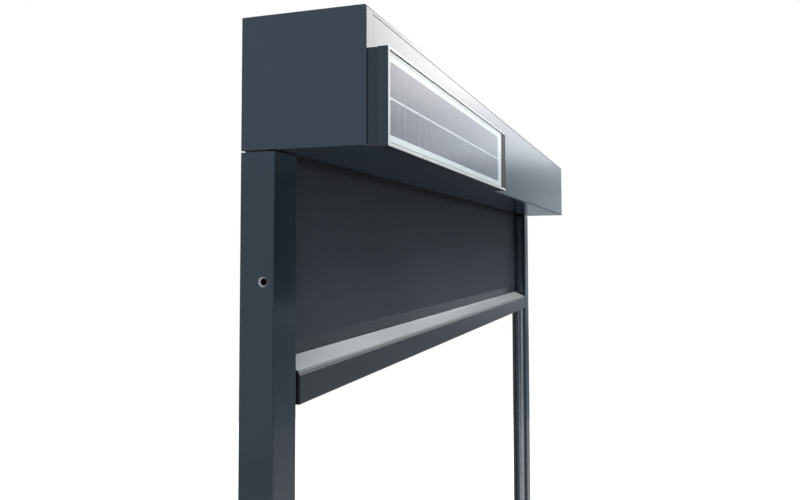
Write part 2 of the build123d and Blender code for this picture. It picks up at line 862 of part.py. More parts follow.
def ball_track(mode):
    """The round groove in which the bearing's balls run."""
    bearing_middle = (bearing_start + bearing_end) / 2
    with Locations(Plane(origin=(bearing_middle, -roller_depth, roller_z), z_dir=(-1, 0, 0))):
        Torus(bearing_pitch_radius, bearing_ball_radius + ball_play, mode=mode)


with BuildPart() as bearing_outer_ring:
    with BuildSketch(roller_place(bearing_end)):
        Circle(bearing_outer_radius)
        Circle(ring_outer_radius, mode=Mode.SUBTRACT)
    extrude(amount=bearing_width)
    ball_track(Mode.SUBTRACT)
finish(bearing_outer_ring, "bearing_outer_ring")

with BuildPart() as bearing_inner_ring:
    with BuildSketch(roller_place(bearing_end)):
        Circle(ring_inner_radius)
        Circle(idler_pin_radius + bearing_fit, mode=Mode.SUBTRACT)
    extrude(amount=bearing_width)
    ball_track(Mode.SUBTRACT)
finish(bearing_inner_ring, "bearing_inner_ring")

with BuildPart() as bearing_balls:
    with Locations(roller_place((bearing_start + bearing_end) / 2)):
        with PolarLocations(bearing_pitch_radius, bearing_ball_count):
            Sphere(bearing_ball_radius)
finish(bearing_balls, "bearing_balls")

with BuildPart() as idler_pin:
    with BuildSketch(roller_place(bearing_end)):
        Circle(idler_pin_radius)
    extrude(amount=idler_pin_length)
    chamfer(idler_pin.edges().filter_by(GeomType.CIRCLE), idler_pin_chamfer)
finish(idler_pin, "idler_pin")

with BuildPart() as idler_plug:
    with BuildSketch(roller_place(roller_half)):
        Circle(plug_radius)
        Circle(idler_pin_radius + bearing_fit, mode=Mode.SUBTRACT)
        draw_keder_notch(notch_radius)
    extrude(amount=idler_plug_length)
    with BuildSketch(roller_place(roller_half + flange_thickness)):
        Circle(roller_radius)
        Circle(idler_pin_radius + bearing_fit, mode=Mode.SUBTRACT)
    extrude(amount=flange_thickness)
finish(idler_plug, "idler_plug")

with BuildPart() as bracket_screws:
    right_face = section_plane(bracket_half)
    screw_length = bracket_thickness + side_plate_thickness + bracket_screw_end
    pan_head_screws(right_face, bracket_screw_places, machine_screw_radius, screw_length)
    mirror(bracket_screws.part, about=Plane.YZ)
finish(bracket_screws, "bracket_screws")

# Battery: cells in a tube, held by clips on the inside of the front cover
battery_inner = battery_cell_radius + battery_cell_play
battery_outer = battery_inner + battery_tube_wall
battery_length = battery_cell_count * battery_cell_length + 2 * battery_cap_length
battery_left = -half_width + battery_inset
battery_right = battery_left + battery_length


def battery_place(x):
    """Section plane at x whose origin lies on the battery tube's axis."""
    return Plane(origin=(x, -battery_depth, battery_z), x_dir=(0, -1, 0), z_dir=(-1, 0, 0))


with BuildPart() as battery_tube:
    with BuildSketch(battery_place(battery_right)):
        Circle(battery_outer)
        Circle(battery_inner, mode=Mode.SUBTRACT)
    extrude(amount=battery_length)
finish(battery_tube, "battery_tube")

with BuildPart() as battery_cells:
    for index in range(battery_cell_count):
        cell_end = battery_right - battery_cap_length - index * battery_cell_length
        with BuildSketch(battery_place(cell_end)):
            Circle(battery_cell_radius)
        extrude(amount=battery_cell_length - battery_cell_gap)
finish(battery_cells, "battery_cells")

with BuildPart() as battery_end_caps:
    for end, outward in ((battery_left, 1), (battery_right, -1)):
        with BuildSketch(battery_place(end)):
            Circle(battery_inner - battery_cap_play)
        extrude(amount=-outward * (battery_cap_length - battery_cell_gap))
        with BuildSketch(battery_place(end)):
            Circle(battery_outer)
        extrude(amount=outward * battery_cap_flange)
finish(battery_end_caps, "battery_end_caps")

with BuildPart() as battery_clips:
    clip_outer = battery_outer + bearing_fit + battery_clip_wall
    foot_front = front_inner - battery_depth
    for end in (
        battery_left + battery_clip_setback + battery_clip_width,
        (battery_left + battery_right + battery_clip_width) / 2,
        battery_right - battery_clip_setback,
    ):
        with BuildSketch(battery_place(end)):
            Circle(clip_outer)
            area(
                (foot_front - battery_clip_foot_thickness, -battery_clip_foot / 2),
                (foot_front, battery_clip_foot / 2),
            )
            area((0, -battery_clip_neck / 2), (foot_front, battery_clip_neck / 2))
            Circle(battery_outer + bearing_fit, mode=Mode.SUBTRACT)
            area(
                (-clip_outer - cut_margin, -battery_clip_opening / 2),
                (0, battery_clip_opening / 2),
                mode=Mode.SUBTRACT,
            )
        extrude(amount=battery_clip_width)
finish(battery_clips, "battery_clips")

# Solar module: a holder on the cover, and a frame with the glazed cells in front of it
with BuildPart() as solar_holder:
    with BuildSketch(front_plane(cassette_depth)) as holder_outline:
        area(
            (module_left + holder_end_inset, module_low + holder_edge_inset),
            (module_right - holder_end_inset, module_high - holder_edge_inset),
        )
        fillet(holder_outline.vertices(), holder_corner_radius)
    extrude(amount=module_holder_depth)
    end_inset = holder_end_inset + holder_wall
    edge_inset = holder_edge_inset + holder_wall
    with BuildSketch(front_plane(cassette_depth + holder_wall)):
        area(
            (module_left + end_inset, module_low + edge_inset),
            (module_right - end_inset, module_high - edge_inset),
        )
        with Locations(*module_screw_places):
            Circle(holder_boss_radius, mode=Mode.SUBTRACT)
    extrude(amount=module_holder_depth, mode=Mode.SUBTRACT)
    with BuildSketch(front_plane(cassette_depth - cut_margin)):
        with Locations(*module_screw_places):
            Circle(machine_screw_radius + machine_screw_play)
        with Locations(grommet_place):
            Circle(grommet_radius - grommet_wall)
    extrude(amount=module_holder_depth, mode=Mode.SUBTRACT)
finish(solar_holder, "solar_holder")

with BuildPart() as solar_screws:
    inner_face = Plane(origin=(0, -front_inner, 0), x_dir=(-1, 0, 0), z_dir=(0, 1, 0))
    mirrored_places = [(-x, z) for x, z in module_screw_places]
    screw_length = cassette_wall + module_holder_depth - module_screw_end_gap
    pan_head_screws(inner_face, mirrored_places, machine_screw_radius, screw_length)
finish(solar_screws, "solar_screws")

with BuildPart() as cable_grommet:
    with BuildSketch(front_plane(front_inner)):
        with Locations(grommet_place):
            Circle(grommet_radius - grommet_play)
            Circle(grommet_radius - grommet_wall, mode=Mode.SUBTRACT)
    extrude(amount=cassette_wall - grommet_play)
    with BuildSketch(front_plane(front_inner)):
        with Locations(grommet_place):
            Circle(grommet_radius + grommet_flange)
            Circle(grommet_radius - grommet_wall, mode=Mode.SUBTRACT)
    extrude(amount=-grommet_flange)
finish(cable_grommet, "cable_grommet")

pocket_low = (module_left + module_lip, module_low + module_lip)
pocket_high = (module_right - module_lip, module_high - module_lip)
laminate_front = module_front - module_recess
laminate_thickness = glass_thickness + cell_thickness + backsheet_thickness
ledge_front = laminate_front - laminate_thickness
with BuildPart() as solar_frame:
    with BuildSketch(front_plane(holder_front)) as frame_outline:
        area((module_left, module_low), (module_right, module_high))
        fillet(frame_outline.vertices(), module_corner_radius)
    extrude(amount=module_frame_depth)
    with BuildSketch(front_plane(ledge_front)):
        area(pocket_low, pocket_high)
    extrude(amount=module_frame_depth, mode=Mode.SUBTRACT)
    with BuildSketch(front_plane(holder_front - cut_margin)):
        area(
            (pocket_low[0] + module_ledge, pocket_low[1] + module_ledge),
            (pocket_high[0] - module_ledge, pocket_high[1] - module_ledge),
        )
    extrude(amount=module_frame_depth, mode=Mode.SUBTRACT)
    front_rim = solar_frame.faces().sort_by(Axis.Y)[0].outer_wire().edges()
    chamfer(front_rim, module_edge_chamfer)
finish(solar_frame, "solar_frame")

laminate_low = (pocket_low[0] + laminate_play, pocket_low[1] + laminate_play)
laminate_high = (
    pocket_high[0] - laminate_play - junction_cover_length - laminate_play,
    pocket_high[1] - laminate_play,
)
with BuildPart() as solar_backsheet:
    with BuildSketch(front_plane(ledge_front)):
        area(laminate_low, laminate_high)
    extrude(amount=backsheet_thickness)
finish(solar_backsheet, "solar_backsheet")

with BuildPart() as solar_cells:
    cell_plane = front_plane(ledge_front + backsheet_thickness)
    with BuildSketch(cell_plane):
        cells_length = laminate_high[0] - cell_right_margin - laminate_low[0] - cell_left_margin
        cells_height = laminate_high[1] - cell_top_margin - laminate_low[1] - cell_bottom_margin
        cell_width = (cells_length - (cell_columns - 1) * cell_gap) / cell_columns
        cell_height = (cells_height - (cell_rows - 1) * cell_gap) / cell_rows
        first_x = laminate_low[0] + cell_left_margin + cell_width / 2
        first_z = laminate_low[1] + cell_bottom_margin + cell_height / 2
        for column in range(cell_columns):
            for row in range(cell_rows):
                x = first_x + column * (cell_width + cell_gap)
                z = first_z + row * (cell_height + cell_gap)
                with Locations((x, z)):
                    Rectangle(cell_width, cell_height)
    extrude(amount=cell_thickness)
    chamfer(solar_cells.edges().filter_by(Axis.Y), cell_corner_cut)
finish(solar_cells, "solar_cells")

with BuildPart() as solar_glass:
    with BuildSketch(front_plane(laminate_front - glass_thickness)):
        area(laminate_low, laminate_high)
    extrude(amount=glass_thickness)
    chamfer(solar_glass.faces().sort_by(Axis.Y)[0].edges(), glass_edge_chamfer)
finish(solar_glass, "solar_glass")

with BuildPart() as solar_junction_cover:
    with BuildSketch(front_plane(ledge_front)):
        area(
            (pocket_high[0] - laminate_play - junction_cover_length, laminate_low[1]),
            (pocket_high[0] - laminate_play, laminate_high[1]),
        )
    extrude(amount=module_front - ledge_front - junction_cover_recess)
    chamfer(solar_junction_cover.faces().sort_by(Axis.Y)[0].edges(), junction_cover_chamfer)
finish(solar_junction_cover, "solar_junction_cover")

# Hanging screen: one flat sheet from the roller's tangent line down into the bar's keder groove
bar_top = bar_bottom + bar_back_height
bar_keder_z = bar_top - bar_wall - keder_radius - keder_play
bar_half = half_width - bar_end_inset
screen_low = bar_keder_z + keder_radius
tail_half = bar_half - running_gap
with BuildPart() as hanging_screen:
    with BuildSketch(front_plane(fabric_back)):
        area((-fabric_half, bar_top + running_gap), (fabric_half, roller_z))
        area((-tail_half, screen_low), (tail_half, bar_top + running_gap))
    extrude(amount=fabric_thickness)
finish(hanging_screen, "hanging_screen")

# Zip tape welded behind each fabric edge, with the zip's bead round the edge itself
tape_back = fabric_back - zip_tape_thickness
with BuildPart() as zip_tape:
    with BuildSketch(rail_plane(roller_z)):
        bead_inner = fabric_edge_inset - weld_gap
        area((bead_inner, tape_back), (fabric_edge_inset + zip_tape_width, fabric_back))
        area(
            (bead_inner - zip_bead_width, fabric_depth - zip_bead_thickness / 2),
            (bead_inner, fabric_depth + zip_bead_thickness / 2),
        )
    extrude(amount=roller_z - bar_top - zip_tape_end_gap)
finish_pair(zip_tape, "zip_tape")

# Bottom bar: its section has an upright back, a narrow flat top over the keder, a top that slopes down
# to the front, and a steep facet between the slope and the upright front
flat_front = bar_depth_back + bar_flat_top
facet_top_depth = bar_depth_front - bar_facet_depth
facet_top = bar_bottom + bar_front_height + bar_facet_height
with BuildSketch() as bar_outline:
    with BuildLine():
        Polyline(
            (bar_depth_back, bar_bottom),
            (bar_depth_front, bar_bottom),
            (bar_depth_front, bar_bottom + bar_front_height),
            (facet_top_depth, facet_top),
            (flat_front, bar_top),
            (bar_depth_back, bar_top),
            close=True,
        )
    make_face()

with BuildSketch() as bar_shape:
    add(bar_outline.sketch)
    fillet(bar_shape.vertices(), bar_corner_radius)

keder_block = keder_radius + keder_play + bar_wall
keder_floor = bar_keder_z - keder_block
chamber_back = bar_depth_back + bar_wall
chamber_front = bar_depth_front - bar_wall
chamber_floor = bar_bottom + bar_wall
chamber_split = fabric_depth + keder_block
with BuildSketch() as chamber_shape:
    add(bar_outline.sketch)
    offset(amount=-bar_wall, kind=Kind.INTERSECTION, mode=Mode.REPLACE)
    area((bar_depth_back, keder_floor), (chamber_split, bar_top), mode=Mode.SUBTRACT)

front_port_z = bar_bottom + bar_front_height - bar_wall - bar_port_radius - bar_port_drop
bar_ports = [
    (chamber_front - bar_port_radius + bar_port_sink, front_port_z),
    (chamber_back + bar_port_radius - bar_port_sink, keder_floor - bar_port_radius + bar_port_sink),
]
slope_angle = atan((bar_top - facet_top) / (facet_top_depth - flat_front))
groove_place = (
    facet_top_depth - bar_groove_setback * cos(slope_angle),
    facet_top + bar_groove_setback * sin(slope_angle),
)
with BuildPart() as bar_profile:
    with BuildSketch(section_plane(bar_half)):
        add(bar_shape.sketch)
        add(chamber_shape.sketch, mode=Mode.SUBTRACT)
        for port in bar_ports:
            disc(port, bar_port_radius)
        for port in bar_ports:
            disc(port, tapping_screw_radius + tapping_hole_play, mode=Mode.SUBTRACT)
        disc((fabric_depth, bar_keder_z), keder_radius + keder_play, mode=Mode.SUBTRACT)
        area(
            (fabric_depth - keder_slot_width / 2, bar_keder_z),
            (fabric_depth + keder_slot_width / 2, bar_top + cut_margin),
            mode=Mode.SUBTRACT,
        )
        with Locations(groove_place):
            groove_tilt = -degrees(slope_angle)
            Rectangle(bar_groove_width, 2 * bar_groove_depth, rotation=groove_tilt, mode=Mode.SUBTRACT)
    extrude(amount=2 * bar_half)
finish(bar_profile, "bar_profile")

with BuildPart() as bar_keder:
    bar_keder_half = bar_half - bar_keder_setback
    with BuildSketch(section_plane(bar_keder_half)):
        disc((fabric_depth, bar_keder_z), keder_radius - bar_keder_play)
    extrude(amount=2 * bar_keder_half)
finish(bar_keder, "bar_keder")

# Steel ballast that lies on the floor of the bar's hollow
ballast_half = bar_half - bar_plug_length - ballast_end_gap
ballast_middle = (chamber_back + chamber_front) / 2
with BuildPart() as bar_ballast:
    with BuildSketch(section_plane(ballast_half)):
        ballast_bottom = chamber_floor + ballast_lift
        area(
            (ballast_middle - ballast_depth / 2, ballast_bottom),
            (ballast_middle + ballast_depth / 2, ballast_bottom + ballast_thickness),
        )
    extrude(amount=2 * ballast_half)
    chamfer(bar_ballast.edges().filter_by(Axis.X), ballast_chamfer)
finish(bar_ballast, "bar_ballast")

# Bar end cap with the tongue that runs in the rail's channel
tongue_back_depth = bar_channel_back + tongue_play
tongue_front_depth = bar_channel_front - tongue_play
cap_outer_inset = bar_end_inset - bar_cap_thickness
plug_low = (chamber_back + bar_plug_play, chamber_floor + bar_plug_play)
plug_high = (chamber_front - bar_plug_play, plug_low[1] + bar_plug_height)
with BuildPart() as bar_end_cap:
    with BuildSketch(section_plane(-bar_half)):
        add(bar_shape.sketch)
        with Locations(*bar_ports):
            Circle(tapping_screw_radius + clearance_hole_play, mode=Mode.SUBTRACT)
    extrude(amount=bar_cap_thickness)
    with BuildSketch(section_plane(-(bar_half - bar_plug_length))):
        area(plug_low, plug_high)
    extrude(amount=bar_plug_length)
    tongue_low = bar_bottom + tongue_lift
    with BuildSketch(section_plane(-(half_width - cap_outer_inset))) as tongue_section:
        area((tongue_back_depth, tongue_low), (tongue_front_depth, tongue_low + tongue_height))
        fillet(tongue_section.vertices(), tongue_corner_radius)
    extrude(amount=cap_outer_inset - tongue_reach_inset)
finish_pair(bar_end_cap, "bar_end_cap")

with BuildPart() as bar_cap_screws:
    left_end = section_plane(-(half_width - cap_outer_inset))
    pan_head_screws(left_end, bar_ports, tapping_screw_radius, tapping_screw_length)
    mirror(bar_cap_screws.part, about=Plane.YZ)
finish(bar_cap_screws, "bar_cap_screws")
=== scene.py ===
"""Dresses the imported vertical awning: cloth, foam and glass pieces, finishes, studio and camera.

Lengths are in metres. X runs along the cassette, Y points into the wall and Z is up.
"""

import json
import math

import bmesh
import bpy
from bpy.props import FloatProperty, FloatVectorProperty, PointerProperty
from mathutils import Euler, Matrix, Vector, noise

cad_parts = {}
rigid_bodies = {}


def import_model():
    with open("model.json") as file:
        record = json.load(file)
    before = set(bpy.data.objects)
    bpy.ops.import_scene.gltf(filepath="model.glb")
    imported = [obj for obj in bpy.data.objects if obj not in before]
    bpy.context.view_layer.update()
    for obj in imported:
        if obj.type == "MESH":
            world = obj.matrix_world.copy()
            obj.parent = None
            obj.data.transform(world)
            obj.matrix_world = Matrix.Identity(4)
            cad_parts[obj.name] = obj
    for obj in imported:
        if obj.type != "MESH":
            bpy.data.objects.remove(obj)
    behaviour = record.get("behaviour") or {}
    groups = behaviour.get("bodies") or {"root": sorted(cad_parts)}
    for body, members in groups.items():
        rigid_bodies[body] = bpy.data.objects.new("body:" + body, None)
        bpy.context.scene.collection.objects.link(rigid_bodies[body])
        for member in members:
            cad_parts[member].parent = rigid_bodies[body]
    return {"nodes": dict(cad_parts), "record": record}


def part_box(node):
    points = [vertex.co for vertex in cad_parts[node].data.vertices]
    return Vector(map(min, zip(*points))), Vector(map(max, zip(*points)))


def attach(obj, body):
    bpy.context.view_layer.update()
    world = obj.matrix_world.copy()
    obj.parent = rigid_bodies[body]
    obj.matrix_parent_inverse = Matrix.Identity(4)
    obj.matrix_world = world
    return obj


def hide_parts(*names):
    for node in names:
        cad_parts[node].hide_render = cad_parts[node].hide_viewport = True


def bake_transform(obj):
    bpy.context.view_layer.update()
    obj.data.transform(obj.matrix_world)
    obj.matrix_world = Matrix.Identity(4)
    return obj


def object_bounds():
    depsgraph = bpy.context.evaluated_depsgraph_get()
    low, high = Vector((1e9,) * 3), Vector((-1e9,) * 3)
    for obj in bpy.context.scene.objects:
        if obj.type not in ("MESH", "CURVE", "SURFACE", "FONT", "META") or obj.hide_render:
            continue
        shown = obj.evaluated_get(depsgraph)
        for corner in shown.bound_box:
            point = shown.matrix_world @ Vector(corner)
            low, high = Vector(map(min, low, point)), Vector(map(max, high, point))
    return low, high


bl_info = {
    "name": "Vertical Awning",
    "version": (1, 0, 0),
    "blender": (4, 5, 0),
    "location": "View3D > Sidebar > Awning",
    "description": "Cloth, finishes and studio for a vertical screen awning",
    "category": "Object",
}

for leftover in list(bpy.data.objects):
    bpy.data.objects.remove(leftover)
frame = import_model()
nodes = frame["nodes"]
cad_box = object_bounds()

TURN = 2 * math.pi
WHITE = (1.0, 1.0, 1.0, 1.0)
WAVE_RATE = 20.0  # the wave texture multiplies its scale by this
MIX_FIRST, MIX_SECOND, MIX_RESULT = 6, 7, 2  # colour sockets of a mix node


# Settings

def length_setting(name, default, description):
    return FloatProperty(name=name, description=description, default=default, min=0.0,
                         unit="LENGTH", precision=5)


def share_setting(name, default, description):
    return FloatProperty(name=name, description=description, default=default, min=0.0, max=1.0,
                         subtype="FACTOR")


def strength_setting(name, default, description):
    return FloatProperty(name=name, description=description, default=default, min=0.0)


def power_setting(name, default, description):
    return FloatProperty(name=name, description=description, default=default, min=0.0,
                         unit="POWER")


def angle_setting(name, degrees, description):
    return FloatProperty(name=name, description=description, default=math.radians(degrees),
                         subtype="ANGLE")


def colour_setting(name, default, description):
    return FloatVectorProperty(name=name, description=description, default=default, size=3,
                               min=0.0, max=1.0, subtype="COLOR")


class AwningCloth(bpy.types.PropertyGroup):
    """Sizes and colours of the screen, its hem, tapes, keders and foam."""

    thread: length_setting(
        "Thread spacing", 0.0011, "Distance between neighbouring threads of the screen")
    hem_height: length_setting(
        "Hem height", 0.016, "Height of the doubled strip above the bottom bar")
    hem_thickness: length_setting(
        "Hem thickness", 0.0003, "How far the hem stands in front of the screen")
    ripple: length_setting(
        "Ripple", 0.00022, "Depth of the soft waves in the tensioned screen")
    tooth_spacing: length_setting(
        "Tooth spacing", 0.0026, "Distance between turns of the zip on the screen's edges")
    layer: length_setting("Layer spacing", 0.0006, "Distance between layers of the wound screen")
    screen_colour: colour_setting("Screen", (0.060, 0.067, 0.084), "Colour of the coated threads")
    hem_colour: colour_setting("Hem", (0.044, 0.050, 0.061), "Colour of the welded hem")
    tape_colour: colour_setting("Tape", (0.006, 0.006, 0.007), "Colour of the tape and its teeth")
    foam_colour: colour_setting("Foam", (0.012, 0.012, 0.013), "Colour of the foam strips")


class AwningFinishes(bpy.types.PropertyGroup):
    """Colours of the metal and plastic parts, the film and the cells, and the coat's gloss."""

    coat_colour: colour_setting(
        "Powder coat", (0.019, 0.034, 0.052), "Anthracite coat of the cassette")
    rail_colour: colour_setting(
        "Rail coat", (0.017, 0.031, 0.047), "Anthracite coat of the rails")
    bar_colour: colour_setting(
        "Bar coat", (0.028, 0.036, 0.043), "Grey coat of the bottom bar")
    coat_roughness: share_setting("Coat roughness", 0.13, "How matt the powder coat is")
    # Pale satin of the bar's slope: partly its own colour, partly painted highlight on the faces
    # that look up.
    slope_colour_and_highlight: colour_setting(
        "Bar slope", (0.75, 0.80, 0.83), "Satin face on the slope of the bottom bar")
    # Satin of the bar's facet, lighter than the coat: partly its own colour, partly painted
    # highlight on the faces that lean up.
    facet_colour_and_highlight: colour_setting(
        "Bar facet", (0.135, 0.148, 0.158), "Satin face between the slope and the front")
    cap_colour: colour_setting(
        "Bar caps", (0.015, 0.017, 0.021), "End caps of the bottom bar")
    rim_colour: colour_setting(
        "Module rim", (0.74, 0.77, 0.78), "Pale front rim of the solar module")
    module_colour: colour_setting(
        "Module coat", (0.0115, 0.0210, 0.0320), "Coat of the solar module's frame")
    holder_colour: colour_setting(
        "Module holder", (0.0075, 0.0135, 0.021), "Coat of the holder behind the module")
    cell_colour: colour_setting(
        "Cells", (0.009, 0.016, 0.043), "Silicon cells of the solar module")
    backsheet_colour: colour_setting(
        "Backsheet", (0.47, 0.497, 0.505), "White film behind the cells")
    plastic_colour: colour_setting(
        "Black plastic", (0.010, 0.011, 0.013), "Inserts, inlets, feet and drive parts")
    liner_colour: colour_setting(
        "Liner", (0.40, 0.43, 0.455), "Bright glide strip in the rail's channel")
    zinc_colour: colour_setting(
        "Zinc", (0.42, 0.43, 0.44), "Plated steel parts inside")
    dark_zinc_colour: colour_setting(
        "Black zinc", (0.035, 0.042, 0.050), "Plates and screws near the outside")
    aluminium_colour: colour_setting(
        "Bare aluminium", (0.62, 0.63, 0.64), "Mill finish of the roller tube")
    drilled_colour: colour_setting(
        "Drilled metal", (0.36, 0.39, 0.43), "Bare rims of the drilled holes")


class AwningStudio(bpy.types.PropertyGroup):
    """Camera, lamps, sky card and floor."""

    camera_place: FloatVectorProperty(
        name="Camera place", description="Where the camera stands", size=3,
        default=(-1.2931, -0.3643, -0.1552), subtype="XYZ", unit="LENGTH")
    heading: angle_setting(
        "Heading", 18.863, "Camera heading, from along the cassette towards the wall")
    tilt: angle_setting("Tilt", 2.857, "How far the camera looks up")
    roll: angle_setting("Roll", -0.131, "Turn about the line of sight")
    lens: FloatProperty(
        name="Lens", description="Focal length", default=33.556, min=1.0, unit="CAMERA")
    sky_strength: strength_setting(
        "Sky card", 4.8, "Brightness of the card that the front reflects")
    side_power: power_setting("Side lamp", 70.0, "Power of the lamp that lights the near end")
    top_power: power_setting("Top lamp", 74.0, "Power of the lamp high in front")
    back_power: power_setting("Back lamp", 45.0, "Power of the lamp behind the wall side")
    ambient: strength_setting("Ambient", 0.25, "Soft light from all round")
    floor_radius: length_setting("Floor radius", 5.0, "Radius of the round studio floor")


# Node helpers

class NodeTree:
    """A node tree while its nodes are laid out."""

    def __init__(self, tree):
        self.tree = tree

    def add(self, kind, settings=None, **values):
        """A node with its settings, and its inputs linked or set by name."""
        node = self.tree.nodes.new(kind)
        for key, value in (settings or {}).items():
            setattr(node, key, value)
        self.fill(node, values)
        return node

    def fill(self, node, values):
        """Links or sets the inputs of a node by name."""
        for key, value in values.items():
            self.feed(node.inputs[key.replace("_", " ")], value)

    def feed(self, socket, value):
        """Links an output to a socket, or sets the socket's own value."""
        if isinstance(value, bpy.types.NodeSocket):
            self.tree.links.new(value, socket)
        else:
            socket.default_value = value

    def calc(self, operation, first, second=0.0, third=None):
        """The result of a math node."""
        node = self.add("ShaderNodeMath", {"operation": operation})
        for socket, value in zip(node.inputs, (first, second, third)):
            if value is not None:
                self.feed(socket, value)
        return node.outputs[0]

    def blend(self, factor, first, second):
        """A mix of two shaders."""
        node = self.add("ShaderNodeMixShader")
        for socket, value in zip(node.inputs, (factor, first, second)):
            self.feed(socket, value)
        return node.outputs[0]

    def shown(self):
        """1 for rays from the camera, also where they pass through glass."""
        rays = self.add("ShaderNodeLightPath").outputs
        return self.calc("MAXIMUM", rays["Is Camera Ray"], rays["Is Transmission Ray"])

    def ramp(self, factor, stops, full=1.0):
        """A colour ramp of (place, level) stops. Level full is white, and low levels are cool."""
        coolest, neutral_level = 0.13, 3.0
        node = self.add("ShaderNodeValToRGB", Fac=factor)
        bar = node.color_ramp.elements
        while len(bar) < len(stops):
            bar.new(0.5)
        for stop, (place, level) in zip(bar, stops):
            cool = coolest * max(0.0, 1.0 - level / neutral_level)
            share = level / full
            stop.position = place
            stop.color = (share * (1.0 - cool), share, share * (1.0 + cool), 1.0)
        return node.outputs["Color"]


class Finish(NodeTree):
    """A node material while its nodes are laid out. Coordinates are metres on the piece."""

    def __init__(self, name, colour, roughness, metallic=0.0):
        self.material = bpy.data.materials.new(name)
        self.material.use_nodes = True
        self.material.diffuse_color = (*colour, 1.0)
        super().__init__(self.material.node_tree)
        self.shader = self.tree.nodes["Principled BSDF"]
        self.colour = tuple(colour)
        self.shade(Base_Color=(*colour, 1.0), Roughness=roughness, Metallic=metallic)
        self.place = self.add("ShaderNodeTexCoord").outputs["Object"]

    def shade(self, **values):
        """Links or sets inputs of the shader by name."""
        self.fill(self.shader, values)

    def stretched(self, x=1.0, y=1.0, z=1.0):
        """The piece's coordinates scaled along each axis."""
        node = self.add("ShaderNodeVectorMath", {"operation": "MULTIPLY"})
        self.feed(node.inputs[0], self.place)
        self.feed(node.inputs[1], (x, y, z))
        return node.outputs[0]

    def along(self, axis):
        """One coordinate of the piece."""
        return self.add("ShaderNodeSeparateXYZ", Vector=self.place).outputs[axis]

    def cloud(self, scale=1.0, detail=2.0, place=None):
        """Soft noise from 0 to 1."""
        node = self.add("ShaderNodeTexNoise", Scale=scale, Detail=detail,
                        Vector=place or self.place)
        return node.outputs["Fac"]

    def stripes(self, axis, scale, **shape):
        """Soft stripes across an axis, from 0 to 1."""
        node = self.add("ShaderNodeTexWave", {"bands_direction": axis}, Scale=scale,
                        Vector=self.place, **shape)
        return node.outputs["Fac"]

    def flecks(self, scale, channel, place=None):
        """One tone for each crystal, from 0 to 1."""
        crystals = self.add("ShaderNodeTexVoronoi", Scale=scale, Vector=place or self.place)
        tones = self.add("ShaderNodeSeparateColor", Color=crystals.outputs["Color"])
        return tones.outputs[channel]

    def between(self, factor, low, high):
        """Maps 0..1 to low..high."""
        node = self.add("ShaderNodeMapRange", Value=factor, To_Min=low, To_Max=high)
        return node.outputs["Result"]

    def window(self, value, start, end):
        """Rises from 0 at start to 1 at end."""
        node = self.add("ShaderNodeMapRange", {"interpolation_type": "SMOOTHSTEP"}, Value=value,
                        From_Min=start, From_Max=end)
        return node.outputs["Result"]

    def span(self, value, start, full, fall, end):
        """Rises from 0 at start to 1 at full, and falls from 1 at fall to 0 at end."""
        return self.calc("MULTIPLY", self.window(value, start, full),
                         self.window(value, end, fall))

    def mix(self, factor, first, second):
        """A colour between two colours."""
        node = self.add("ShaderNodeMix", {"data_type": "RGBA"})
        self.feed(node.inputs[0], factor)
        for number, colour in ((MIX_FIRST, first), (MIX_SECOND, second)):
            linked = isinstance(colour, bpy.types.NodeSocket)
            self.feed(node.inputs[number], colour if linked else (*colour, 1.0))
        return node.outputs[MIX_RESULT]

    def shaded(self, share):
        """The finish's colour made lighter or darker."""
        return tuple(min(1.0, c * share) for c in self.colour)

    def toned(self, factor, low, high):
        """The finish's colour between two shares of itself."""
        return self.mix(factor, self.shaded(low), self.shaded(high))

    def tint(self, factor, low, high):
        """Varies the surface's colour between two shares of itself."""
        self.shade(Base_Color=self.toned(factor, low, high))

    def gloss(self, factor, low, high):
        """Varies the surface's roughness from low to high."""
        self.shade(Roughness=self.between(factor, low, high))

    def relief(self, height, depth, strength, edge=0.0):
        """Bump of a real depth in metres, over edges rounded by a small radius."""
        bump = self.add("ShaderNodeBump", Height=height, Distance=depth, Strength=strength)
        if edge:
            soft = self.add("ShaderNodeBevel", {"samples": 4}, Radius=edge)
            self.feed(bump.inputs["Normal"], soft.outputs["Normal"])
        self.shade(Normal=bump.outputs["Normal"])

    def done(self):
        """The material with all its nodes."""
        return self.material


# Mesh helpers

def linear(low, high, count):
    """Count + 1 evenly spaced values."""
    return [low + (high - low) * i / count for i in range(count + 1)]


def round_angles(count):
    """Evenly spaced angles of one full turn."""
    return linear(0.0, TURN, count)[:-1]


def fade(distance, length):
    """Rises from 0 at no distance to 1 at the length."""
    return max(0.0, min(1.0, distance / length))


def both(*names):
    """The left and right nodes of each name."""
    return [f"{name}_{side}" for name in names for side in ("left", "right")]


def dress(finish, *names):
    """Gives CAD nodes their finish."""
    for name in names:
        materials = nodes[name].data.materials
        materials.clear()
        materials.append(finish)


def dress_faces(name, finish, wanted):
    """Gives a second finish to the faces of a CAD node that wanted(centre, normal) picks."""
    mesh = nodes[name].data
    mesh.materials.append(finish)
    picked = [face for face in mesh.polygons if wanted(face.center, face.normal)]
    if not picked:
        raise RuntimeError(f"no face of {name} takes the finish {finish.name}")
    for face in picked:
        face.material_index = len(mesh.materials) - 1


def swell(x, y, z):
    """Soft noise at a place, from 0 to 1."""
    return 0.5 + 0.5 * noise.noise(Vector((x, y, z)))


def placed(name, data):
    """A new object in the scene."""
    made = bpy.data.objects.new(name, data)
    bpy.context.scene.collection.objects.link(made)
    return made


def piece(name, points, faces, finish, smooth=True):
    """A new mesh object."""
    mesh = bpy.data.meshes.new(name)
    mesh.from_pydata([tuple(point) for point in points], [], faces)
    mesh.update()
    mesh.polygons.foreach_set("use_smooth", [smooth] * len(mesh.polygons))
    mesh.materials.append(finish)
    return placed(name, mesh)


def square_up(made):
    """Turns all faces outwards."""
    work = bmesh.new()
    work.from_mesh(made.data)
    bmesh.ops.recalc_face_normals(work, faces=work.faces)
    work.to_mesh(made.data)
    work.free()


